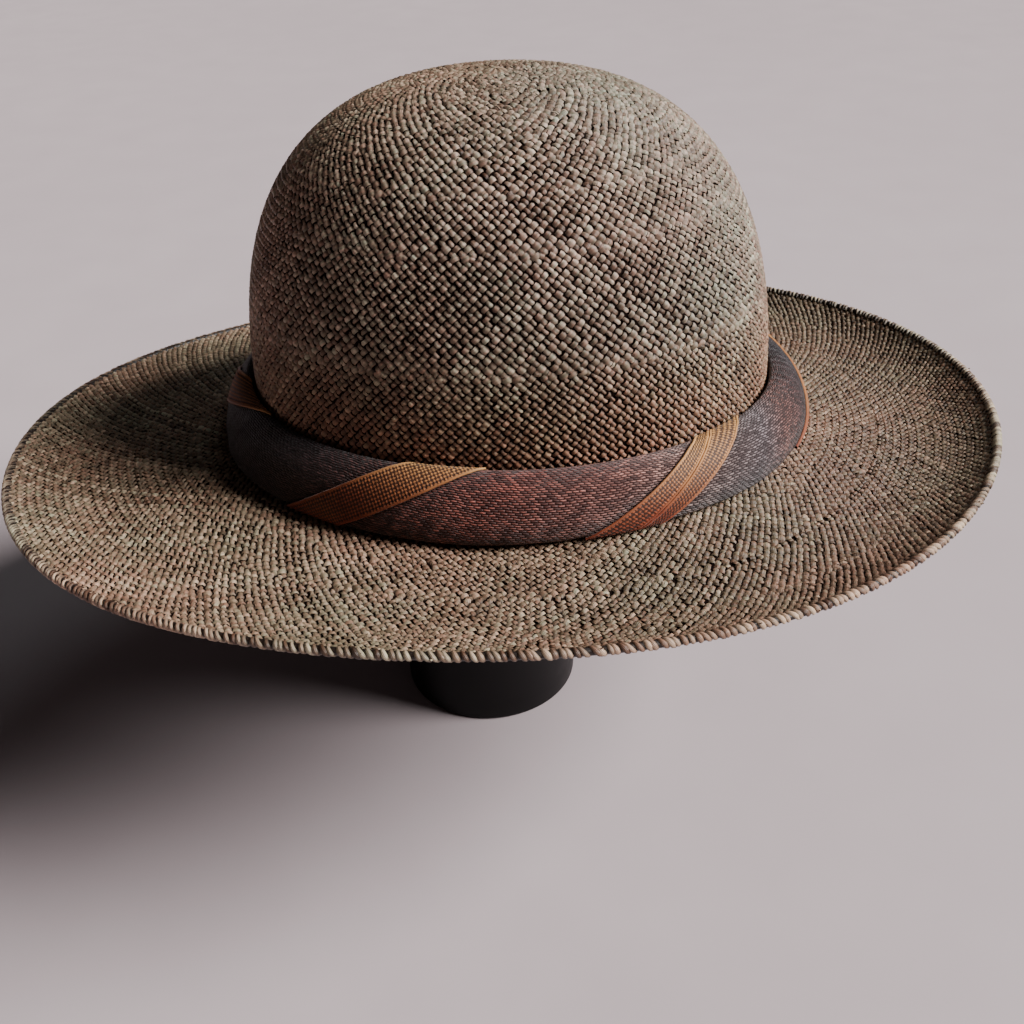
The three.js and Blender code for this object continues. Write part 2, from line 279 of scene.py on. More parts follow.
@dataclass(frozen=True)
class HatForm:
    """The hat's outer face: crown, hollow turn and brim, in millimetres."""

    head_length: float = 200.0
    head_width: float = 169.4
    crown_height: float = 129.0
    brim_length: float = 387.2
    brim_width: float = 332.8
    foot_height: float = 137.0
    centre_x: float = 15.6
    top_shift: float = -1.4
    brim_shift: float = -6.6
    side_power: float = 2.565
    top_power: float = 2.824
    turn_radius: float = 8.0
    rim_radius: float = 1.7
    dip: float = 4.5
    dip_swing: float = 1.5
    rise_power: float = 1.6
    rim_level: float = -1.0
    rim_waves: tuple[RimWave, ...] = (
        RimWave(1, 3.0, -10.8),
        RimWave(2, 0.5, 2.4),
        RimWave(3, 0.1, 1.3),
        RimWave(4, 0.8, -0.9),
    )
    section_steps: int = 400
    ring_steps: int = 180

    def level(self, out_x: Array, out_y: Array, shift: Array, height: Array, angle: Array) -> Array:
        """A point of a level ellipse about the crown's centre line, in metres.

        Args:
            out_x: Half the ellipse's length.
            out_y: Half its width.
            shift: How far its centre lies along the hat from the crown's centre line.
            height: Its height over the crown's foot.
            angle: The angle of each point round the hat.

        Returns:
            The points, in metres.
        """
        x = self.centre_x + shift + out_x * np.cos(angle)
        y = out_y * np.sin(angle)
        z = self.foot_height + height
        return MM * np.stack(np.broadcast_arrays(x, y, z), axis=-1)

    def beside(self, out: Array, height: Array, angle: Array) -> Array:
        """A point at a distance out from the crown's wall.

        Args:
            out: The distance from the wall, in millimetres.
            height: The height over the crown's foot, in millimetres.
            angle: The angle of each point round the hat.

        Returns:
            The points, in metres.
        """
        shift = self.top_shift * height / self.crown_height
        half_length, half_width = self.head_length / 2.0, self.head_width / 2.0
        return self.level(half_length + out, half_width + out, shift, height, angle)

    def crown(self, share: Array, angle: Array) -> Array:
        """The crown's outer face, from the middle of its top (0) to the turn (1).

        Args:
            share: How far along the face each point lies, 0 to 1.
            angle: The angle of each point round the hat.

        Returns:
            The points, in metres.
        """
        lowest = math.asin((self.turn_radius / self.crown_height) ** (self.top_power / 2.0))
        lift = math.pi / 2.0 + (lowest - math.pi / 2.0) * share ** (self.side_power / 2.0)
        spread = np.maximum(np.cos(lift), 0.0) ** (2.0 / self.side_power)
        height = self.crown_height * np.sin(lift) ** (2.0 / self.top_power)
        shift = self.top_shift * height / self.crown_height
        half_length, half_width = self.head_length / 2.0, self.head_width / 2.0
        return self.level(half_length * spread, half_width * spread, shift, height, angle)

    def turn(self, share: Array, angle: Array) -> Array:
        """The hollow turn, from the crown's wall (0) to the brim (1).

        Args:
            share: How far along the face each point lies, 0 to 1.
            angle: The angle of each point round the hat.

        Returns:
            The points, in metres.
        """
        bend = share * (math.pi / 2.0)
        out = self.turn_radius * (1.0 - np.cos(bend))
        height = self.turn_radius * (1.0 - np.sin(bend))
        return self.beside(out, height, angle)

    def rim_height(self, angle: Array) -> Array:
        """The height of the rim over the crown's foot.

        Args:
            angle: The angle of each point round the hat.

        Returns:
            The heights, in millimetres.
        """
        height = np.full(np.shape(angle), self.rim_level)
        for wave in self.rim_waves:
            height = height + wave.cosine * np.cos(wave.turns * angle)
            height = height + wave.sine * np.sin(wave.turns * angle)
        return height

    def brim(self, share: Array, angle: Array) -> Array:
        """The brim's upper face, from the turn (0) to the rim (1).

        Args:
            share: How far along the face each point lies, 0 to 1.
            angle: The angle of each point round the hat.

        Returns:
            The points, in metres.
        """
        start_x = self.head_length / 2.0 + self.turn_radius
        start_y = self.head_width / 2.0 + self.turn_radius
        end_x = self.brim_length / 2.0 - self.rim_radius
        end_y = self.brim_width / 2.0 - self.rim_radius
        deepest = 4.0 / 27.0
        hollow = share * share * (1.0 - share) / deepest
        dip = (self.dip + self.dip_swing * np.cos(angle)) * hollow
        height = self.rim_height(angle) * share ** self.rise_power - dip
        out_x = start_x + (end_x - start_x) * share
        out_y = start_y + (end_y - start_y) * share
        return self.level(out_x, out_y, self.brim_shift * share, height, angle)

    @cached_property
    def stretches(self) -> tuple[Array, Array, Array, Array]:
        """The shares used to measure the section, and the distance down it on each face.

        Returns:
            The shares, and the distances on the crown, the turn and the brim.
        """
        share = np.linspace(0.0, 1.0, self.section_steps)
        angle = np.full_like(share, -math.pi / 4.0)
        start = 0.0
        distances = []
        for face in (self.crown, self.turn, self.brim):
            steps = np.linalg.norm(np.diff(face(share, angle), axis=0), axis=1)
            distances.append(start + np.concatenate([[0.0], np.cumsum(steps)]))
            start = distances[-1][-1]
        return share, distances[0], distances[1], distances[2]

    @property
    def turn_start(self) -> float:
        """The distance down the section at which the turn starts."""
        return float(self.stretches[2][0])

    @property
    def brim_start(self) -> float:
        """The distance down the section at which the brim starts."""
        return float(self.stretches[3][0])

    @property
    def rim(self) -> float:
        """The distance down the section at which the rim is."""
        return float(self.stretches[3][-1])

    def point(self, distance: Array, angle: Array) -> Array:
        """The outer face at a distance down the section from the middle of the top.

        Args:
            distance: The distance of each point, in metres.
            angle: The angle of each point round the hat.

        Returns:
            The points, in metres.
        """
        share, crown, turn, brim = self.stretches
        on_crown = self.crown(np.interp(distance, crown, share), angle)
        on_turn = self.turn(np.interp(distance, turn, share), angle)
        on_brim = self.brim(np.interp(distance, brim, share), angle)
        lower = np.where((distance < brim[0])[..., None], on_turn, on_brim)
        return np.where((distance < turn[0])[..., None], on_crown, lower)

    def normal(self, distance: Array, angle: Array) -> Array:
        """The outward direction of the outer face.

        Args:
            distance: The distance of each point, in metres.
            angle: The angle of each point round the hat.

        Returns:
            The directions, of length 1.
        """
        reach, swing = 0.0012, 0.004
        low = np.maximum(distance - reach, 0.0)
        high = np.minimum(distance + reach, self.rim)
        down = self.point(high, angle) - self.point(low, angle)
        ahead = self.point(distance, angle + swing) - self.point(distance, angle - swing)
        return unit(np.cross(down, ahead))

    def perimeter(self, distance: float) -> float:
        """The length once round the hat at a distance down the section.

        Args:
            distance: The distance down the section, in metres.

        Returns:
            The length, in metres.
        """
        angle = np.linspace(0.0, FULL_TURN, self.ring_steps + 1)
        ring = self.point(np.full_like(angle, distance), angle)
        return float(np.sum(np.linalg.norm(np.diff(ring, axis=0), axis=1)))


# Finishes


def linear(red: float, green: float, blue: float) -> tuple[float, float, float, float]:
    """A screen colour as Blender's linear colour.

    Args:
        red: The red share on the screen, 0 to 1.
        green: The green share.
        blue: The blue share.

    Returns:
        The linear colour, with full cover.
    """
    def channel(value: float) -> float:
        """One channel of the colour."""
        return value / 12.92 if value <= 0.04045 else ((value + 0.055) / 1.055) ** 2.4

    return channel(red), channel(green), channel(blue), 1.0


@dataclass
class NodeWriter:
    """Adds nodes to a tree, each with its inputs set or linked."""

    tree: bpy.types.NodeTree

    def add(self, kind: str, inputs: dict[str | int, object] | None = None,
            **settings: object) -> bpy.types.Node:
        """Adds one node.

        Args:
            kind: The node's type name without its prefix.
            inputs: A value or a socket for each input, by name or by number.
            **settings: Values of the node's own properties.

        Returns:
            The new node.
        """
        node = self.tree.nodes.new("ShaderNode" + kind)
        for name, value in settings.items():
            setattr(node, name, value)
        for key, value in (inputs or {}).items():
            if isinstance(value, Socket):
                self.tree.links.new(value, node.inputs[key])
            else:
                node.inputs[key].default_value = value
        return node

    def math(self, operation: str, *values: object) -> Socket:
        """One step of arithmetic."""
        return self.add("Math", dict(enumerate(values)), operation=operation).outputs[0]

    def mix(self, share: object, low: object, high: object, blend: str = "MIX") -> Socket:
        """Mixes two colours."""
        made = self.add("Mix", {0: share, 6: low, 7: high}, data_type="RGBA", blend_type=blend)
        return made.outputs[2]

    def span(self, value: object, low: object, high: object) -> Socket:
        """Spreads 0 to 1 over a range."""
        return self.add("MapRange", {"Value": value, "To Min": low, "To Max": high}).outputs[0]

    def ease(self, value: object, low: object, high: object) -> Socket:
        """Eases a range to 0 to 1."""
        inputs = {"Value": value, "From Min": low, "From Max": high}
        return self.add("MapRange", inputs, interpolation_type="SMOOTHSTEP").outputs[0]

    def noise(self, vector: object, scale: object, detail: float = 3.0) -> Socket:
        """Noise of 0 to 1."""
        inputs = {"Vector": vector, "Scale": scale, "Detail": detail}
        return self.add("TexNoise", inputs).outputs[0]

    def mark(self, name: str, output: str = "Fac") -> Socket:
        """A value that the mesh holds for each point."""
        return self.add("Attribute", attribute_name=name).outputs[output]

    def bump(self, height: object, distance: float, strength: float) -> Socket:
        """A normal bent by a height."""
        inputs = {"Height": height, "Distance": distance, "Strength": strength}
        return self.add("Bump", inputs).outputs[0]


@dataclass(frozen=True)
class ShadeGroup:
    """A shader node group with named inputs and outputs."""

    name: str
    inputs: tuple[tuple[str, str], ...]
    outputs: tuple[tuple[str, str], ...]

    def begun(self) -> tuple[bpy.types.NodeTree, NodeWriter, bpy.types.Node]:
        """Makes the empty group.

        Returns:
            The group, what writes its nodes, and its input node.
        """
        tree = bpy.data.node_groups.new(self.name, "ShaderNodeTree")
        for way, sockets in (("INPUT", self.inputs), ("OUTPUT", self.outputs)):
            for name, kind in sockets:
                tree.interface.new_socket(name=name, in_out=way, socket_type="NodeSocket" + kind)
        writer = NodeWriter(tree)
        return tree, writer, tree.nodes.new("NodeGroupInput")

    @staticmethod
    def ended(tree: bpy.types.NodeTree, results: dict[str, Socket]) -> bpy.types.NodeTree:
        """Links the group's results to its output node.

        Args:
            tree: The group.
            results: The socket for each output.

        Returns:
            The group.
        """
        end = tree.nodes.new("NodeGroupOutput")
        for name, socket in results.items():
            tree.links.new(socket, end.inputs[name])
        return tree


class Shades:
    """The node groups of the finishes."""

    FLECK_SCALE = 0.23
    FLOAT_FULLNESS = 0.45
    FLOAT_STRENGTHS = (0.1, 1.0)
    FINE_SCALE = 9.0

    def __init__(self) -> None:
        """Makes the groups."""
        self.fibre = self.fibre_group()
        self.threads = self.threads_group()
        self.patches = self.patches_group()

    @staticmethod
    def fibre_group() -> bpy.types.NodeTree:
        """Fine streaks that run along a straw or a thread.

        Returns:
            The group.
        """
        group = ShadeGroup(
            "Fibre streaks",
            (("Vector", "Vector"), ("Along", "Float"), ("Across", "Float")),
            (("Streak", "Float"), ("Fleck", "Float")),
        )
        tree, write, start = group.begun()
        parts = write.add("SeparateXYZ", {0: start.outputs["Vector"]})
        along = write.math("MULTIPLY", parts.outputs[0], start.outputs["Along"])
        across = write.math("MULTIPLY", parts.outputs[1], start.outputs["Across"])
        stretched = write.add("CombineXYZ", {0: along, 1: across}).outputs[0]
        streak = write.noise(stretched, 1.0, 4.0)
        fleck = write.noise(stretched, Shades.FLECK_SCALE, 2.0)
        return group.ended(tree, {"Streak": streak, "Fleck": fleck})

    @staticmethod
    def threads_group() -> bpy.types.NodeTree:
        """Short raised floats of thread in staggered rows, as on a woven ribbon.

        Returns:
            The group.
        """
        group = ShadeGroup(
            "Thread floats",
            (("Vector", "Vector"), ("Length", "Float"), ("Pitch", "Float"), ("Stagger", "Float")),
            (("Float", "Float"), ("Height", "Float")),
        )
        tree, write, start = group.begun()
        parts = write.add("SeparateXYZ", {0: start.outputs["Vector"]})
        rows = write.math("DIVIDE", parts.outputs[1], start.outputs["Pitch"])
        row = write.math("FLOOR", rows)
        across = write.math("SINE", write.math("MULTIPLY", write.math("FRACT", rows), math.pi))
        shifted = write.math("MULTIPLY", row, start.outputs["Stagger"])
        lengths = write.math("DIVIDE", parts.outputs[0], start.outputs["Length"])
        cells = write.math("ADD", lengths, shifted)
        cell = write.math("FLOOR", cells)
        along = write.math("SINE", write.math("MULTIPLY", write.math("FRACT", cells), math.pi))
        full = write.math("POWER", along, Shades.FLOAT_FULLNESS)
        key = write.add("CombineXYZ", {0: cell, 1: row}).outputs[0]
        chance = write.add("TexWhiteNoise", {"Vector": key}).outputs["Value"]
        height = write.math("MULTIPLY", across, full)
        strength = write.span(chance, *Shades.FLOAT_STRENGTHS)
        value = write.math("MULTIPLY", height, strength)
        return group.ended(tree, {"Float": value, "Height": height})

    @staticmethod
    def patches_group() -> bpy.types.NodeTree:
        """Soft patches of age and handling, at two sizes.

        Returns:
            The group.
        """
        group = ShadeGroup(
            "Soft patches",
            (("Scale", "Float"), ("Low", "Float"), ("High", "Float")),
            (("Value", "Float"), ("Fine", "Float")),
        )
        tree, write, start = group.begun()
        place = write.add("TexCoord").outputs["Object"]
        broad = write.noise(place, start.outputs["Scale"], 2.0)
        finer = write.math("MULTIPLY", start.outputs["Scale"], Shades.FINE_SCALE)
        fine = write.noise(place, finer, 3.0)
        value = write.span(broad, start.outputs["Low"], start.outputs["High"])
        return group.ended(tree, {"Value": value, "Fine": fine})

    def streaks(self, write: NodeWriter, place: Socket,
                fineness: tuple[float, float]) -> bpy.types.Node:
        """Places the fibre streaks in a material.

        Args:
            write: What writes the material's nodes.
            place: Where each point lies on its straw or thread.
            fineness: How fine the streaks are along it and across it.

        Returns:
            The group's node.
        """
        along, across = fineness
        inputs = {"Vector": place, "Along": along, "Across": across}
        return write.add("Group", inputs, node_tree=self.fibre)

    def soft_patches(self, write: NodeWriter,
                     spread: tuple[float, float, float]) -> bpy.types.Node:
        """Places the soft patches in a material.

        Args:
            write: What writes the material's nodes.
            spread: Their scale, and the lowest and the highest value.

        Returns:
            The group's node.
        """
        scale, low, high = spread
        inputs = {"Scale": scale, "Low": low, "High": high}
        return write.add("Group", inputs, node_tree=self.patches)


@dataclass(frozen=True)
class Finish:
    """A finish: its name and the constant values of its shader."""

    name: str
    roughness: float
    specular: float
    sheen: float = 0.0
    sheen_roughness: float = 0.45

    def begun(self) -> tuple[bpy.types.Material, NodeWriter, bpy.types.Node]:
        """Makes the material with its shader.

        Returns:
            The material, what writes its nodes, and its shader node.
        """
        material = bpy.data.materials.new(self.name)
        material.use_nodes = True
        tree = material.node_tree
        tree.nodes.clear()
        write = NodeWriter(tree)
        values = {
            "Roughness": self.roughness,
            "Specular IOR Level": self.specular,
            "Sheen Weight": self.sheen,
            "Sheen Roughness": self.sheen_roughness,
        }
        shader = write.add("BsdfPrincipled", values)
        end = write.add("OutputMaterial")
        tree.links.new(shader.outputs[0], end.inputs["Surface"])
        return material, write, shader


@dataclass(frozen=True)
class StrawFinish(Finish):
    """Natural straw: pale crests and dark hollows as painted shade, streaks along each straw, wear,
    painted pink bounce light and painted cool light.
    """

    dark: tuple[float, float, float] = (0.35, 0.26, 0.205)
    middle: tuple[float, float, float] = (0.57, 0.49, 0.43)
    pale: tuple[float, float, float] = (0.80, 0.75, 0.68)
    # The colour painted into hollows and under parts as shade
    hollow: tuple[float, float, float] = (0.09, 0.05, 0.04)
    olive: tuple[float, float, float] = (0.85, 0.91, 0.82)
    rosy: tuple[float, float, float] = (1.0, 0.84, 0.77)
    # Wear and painted pink bounce light, as a rosy tint
    wear_and_bounce: tuple[float, float, float] = (1.0, 0.84, 0.78)
    # Painted cool light, as a bluish tint
    painted_cool_light: tuple[float, float, float] = (0.93, 1.04, 1.16)
    dark_tone: float = 0.05
    pale_tone: float = 0.95
    fineness: tuple[float, float] = (260.0, 9.0)
    patches: tuple[float, float, float] = (14.0, -0.35, 1.35)
    fleck_swing: float = 0.35
    streak_swing: float = 0.22
    hue_swing: float = 1.6
    hue_share: float = 0.85
    crest_low: float = 0.12
    crest_high: float = 1.0
    rough_swing: float = 0.14
    bump_depth: float = 0.00038
    bump_strength: float = 0.8

    def made(self, shades: Shades) -> bpy.types.Material:
        """Makes the material.

        Each mesh point holds its straw's tone and its crest, which sets the painted shade, and how
        much wear and painted pink bounce light and how much painted cool light it takes.

        Args:
            shades: The shared node groups.

        Returns:
            The material.
        """
        material, write, shader = self.begun()
        tree = material.node_tree
        place = write.add("UVMap", uv_map="Place").outputs[0]
        fibre = shades.streaks(write, place, self.fineness)
        patches = shades.soft_patches(write, self.patches)
        flecks = write.span(fibre.outputs["Fleck"], -self.fleck_swing, self.fleck_swing)
        streaks = write.span(fibre.outputs["Streak"], -self.streak_swing, self.streak_swing)
        tone = write.math("ADD", write.mark("tone"), flecks)
        tone = write.math("ADD", tone, streaks)
        ramp = write.add("ValToRGB", {0: tone})
        stops = ramp.color_ramp.elements
        stops[0].position, stops[0].color = self.dark_tone, linear(*self.dark)
        stops[1].position, stops[1].color = self.pale_tone, linear(*self.pale)
        stops.new(0.5).color = linear(*self.middle)
        shift = write.span(fibre.outputs["Fleck"], -self.hue_swing, self.hue_swing)
        hue = write.math("ADD", patches.outputs["Value"], shift)
        held = write.add("Clamp", {0: hue}).outputs[0]
        tint = write.mix(held, linear(*self.olive), linear(*self.rosy))
        tinted = write.mix(self.hue_share, ramp.outputs[0], tint, "MULTIPLY")
        # A rosy tint of wear and painted pink bounce light low on the crown, then painted cool
        # light high on it.
        bounce_tinted = write.mix(write.mark("wear_and_bounce"), tinted, linear(*self.wear_and_bounce), "MULTIPLY")
        cool_lit = write.mix(write.mark("painted_cool_light"), bounce_tinted, (*self.painted_cool_light, 1.0), "MULTIPLY")
        # Low crests, at straw edges and where a straw dives under, take the hollow colour: painted
        # shade.
        depth = write.ease(write.mark("crest"), self.crest_low, self.crest_high)
        colour = write.mix(depth, linear(*self.hollow), cool_lit)
        tree.links.new(colour, shader.inputs["Base Color"])
        smoothest, roughest = self.roughness - self.rough_swing, self.roughness + self.rough_swing
        rough = write.span(fibre.outputs["Streak"], smoothest, roughest)
        tree.links.new(rough, shader.inputs["Roughness"])
        normal = write.bump(fibre.outputs["Streak"], self.bump_depth, self.bump_strength)
        tree.links.new(normal, shader.inputs["Normal"])
        return material


@dataclass(frozen=True)
class RibbonFinish(Finish):
    """The dark ribbon: fine floats of paler thread over a ground that shifts in colour round the
    hat, partly as painted light and shade.
    """

    float_length: float = 0.0022
    pitch: float = 0.00082
    stagger: float = 0.37
    lean: float = 0.06
    sway: float = 0.0007
    sway_scale: float = 180.0
    fineness: tuple[float, float] = (300.0, 2600.0)
    patches: tuple[float, float, float] = (30.0, 0.55, 1.5)
    faintest: float = 0.6
    strongest: float = 1.4
    paler: tuple[float, float, float] = (7.2, 7.4, 7.2)
    darker: tuple[float, float, float] = (0.60, 0.40, 0.42)
    sharpness: float = 1.6
    fibre_height: float = 0.6
    bump_depth: float = 0.0006
    bump_strength: float = 0.9

    def made(self, shades: Shades) -> bpy.types.Material:
        """Makes the material. Each mesh point holds the ground's colour.

        Args:
            shades: The shared node groups.

        Returns:
            The material.
        """
        material, write, shader = self.begun()
        tree = material.node_tree
        place = write.add("UVMap", uv_map="Place").outputs[0]
        turned = write.add("VectorRotate", {"Vector": place, "Angle": self.lean},
                           rotation_type="Z_AXIS").outputs[0]
        stray = write.noise(place, self.sway_scale, 2.0)
        sway = write.add("CombineXYZ", {1: write.span(stray, -self.sway, self.sway)}).outputs[0]
        shifted = write.add("VectorMath", {0: turned, 1: sway}, operation="ADD")
        threads = write.add("Group", {
            "Vector": shifted.outputs[0], "Length": self.float_length,
            "Pitch": self.pitch, "Stagger": self.stagger}, node_tree=shades.threads)
        fibre = shades.streaks(write, turned, self.fineness)
        patches = shades.soft_patches(write, self.patches)
        # The ground's colour, which holds painted light and shade
        ground = write.mark("tint", "Color")
        pale = write.mix(1.0, ground, (*self.paler, 1.0), "MULTIPLY")
        pale.node.clamp_result = False
        dark = write.mix(1.0, ground, (*self.darker, 1.0), "MULTIPLY")
        share = write.math("MULTIPLY", threads.outputs["Float"], patches.outputs["Value"])
        streaks = write.span(fibre.outputs["Streak"], self.faintest, self.strongest)
        streaked = write.math("MULTIPLY", share, streaks)
        sharp = write.math("POWER", streaked, self.sharpness)
        held = write.add("Clamp", {0: sharp}).outputs[0]
        colour = write.mix(held, dark, pale)
        tree.links.new(colour, shader.inputs["Base Color"])
        fibres = write.math("MULTIPLY", fibre.outputs["Streak"], self.fibre_height)
        height = write.math("ADD", threads.outputs["Height"], fibres)
        normal = write.bump(height, self.bump_depth, self.bump_strength)
        tree.links.new(normal, shader.inputs["Normal"])
        return material


@dataclass(frozen=True)
class CopperFinish(Finish):
    """The copper-brown strips: golden at the head of a strip, redder at its foot."""

    golden: tuple[float, float, float] = (0.86, 0.64, 0.39)
    red: tuple[float, float, float] = (0.58, 0.26, 0.15)
    # The colour painted into hollows and under parts as shade
    hollow: tuple[float, float, float] = (0.17, 0.07, 0.04)
    fineness: tuple[float, float] = (500.0, 12.0)
    patches: tuple[float, float, float] = (60.0, -0.25, 0.25)
    darkest: float = 0.5
    brightest: float = 1.1
    crest_low: float = -0.1
    crest_high: float = 0.85
    bump_depth: float = 0.00015
    bump_strength: float = 0.6

    def made(self, shades: Shades) -> bpy.types.Material:
        """Makes the material. Each mesh point holds its height up the strip, tone and crest.

        Args:
            shades: The shared node groups.

        Returns:
            The material.
        """
        material, write, shader = self.begun()
        tree = material.node_tree
        place = write.add("UVMap", uv_map="Place").outputs[0]
        fibre = shades.streaks(write, place, self.fineness)
        patches = shades.soft_patches(write, self.patches)
        up = write.math("ADD", write.mark("up"), patches.outputs["Value"])
        held = write.add("Clamp", {0: up}).outputs[0]
        ground = write.mix(held, linear(*self.red), linear(*self.golden))
        streaks = write.span(fibre.outputs["Streak"], self.darkest, self.brightest)
        tone = write.math("ADD", write.mark("tone"), streaks)
        grey = write.add("CombineColor", {0: tone, 1: tone, 2: tone}).outputs[0]
        toned = write.mix(1.0, ground, grey, "MULTIPLY")
        # Low crests, at thread edges and where a thread dives under, take the hollow colour:
        # painted shade.
        depth = write.ease(write.mark("crest"), self.crest_low, self.crest_high)
        colour = write.mix(depth, linear(*self.hollow), toned)
        tree.links.new(colour, shader.inputs["Base Color"])
        normal = write.bump(fibre.outputs["Streak"], self.bump_depth, self.bump_strength)
        tree.links.new(normal, shader.inputs["Normal"])
        return material


@dataclass(frozen=True)
class PlainFinish(Finish):
    """One colour with soft patches, fine grain and a little dust."""

    colour: tuple[float, float, float] = (0.1, 0.1, 0.1)
    # The colour of the specks of dust and wear
    wear_and_bounce: tuple[float, float, float] = (0.2, 0.2, 0.2)
    scale: float = 12.0
    grain: float = 0.00004
    grain_strength: float = 0.5
    rough_swing: float = 0.1

    def made(self, shades: Shades) -> bpy.types.Material:
        """Makes the material.

        Args:
            shades: The shared node groups.

        Returns:
            The material.
        """
        material, write, shader = self.begun()
        tree = material.node_tree
        patches = shades.soft_patches(write, (self.scale, 0.0, 1.0))
        speck = write.math("MULTIPLY", patches.outputs["Value"], patches.outputs["Fine"])
        colour = write.mix(speck, linear(*self.colour), linear(*self.wear_and_bounce))
        tree.links.new(colour, shader.inputs["Base Color"])
        smoothest, roughest = self.roughness - self.rough_swing, self.roughness + self.rough_swing
        rough = write.span(patches.outputs["Fine"], smoothest, roughest)
        tree.links.new(rough, shader.inputs["Roughness"])
        normal = write.bump(patches.outputs["Fine"], self.grain, self.grain_strength)
        tree.links.new(normal, shader.inputs["Normal"])
        return material


# Woven straw


@dataclass(frozen=True)
class Zone:
    """A run of crossing rows that all have the same number of crossings."""

    region: Region
    first: int
    last: int
    count: int
    phase: dict[Lean, float]


@dataclass(frozen=True)
class RegionWeave:
    """How closely one region is woven, in metres."""

    region: Region
    narrowest: float
    widest: float
    stretch: float


@dataclass(frozen=True)
class StrawKind:
    """How full and how proud the straws of one family lie."""

    fullness: float
    lift: float


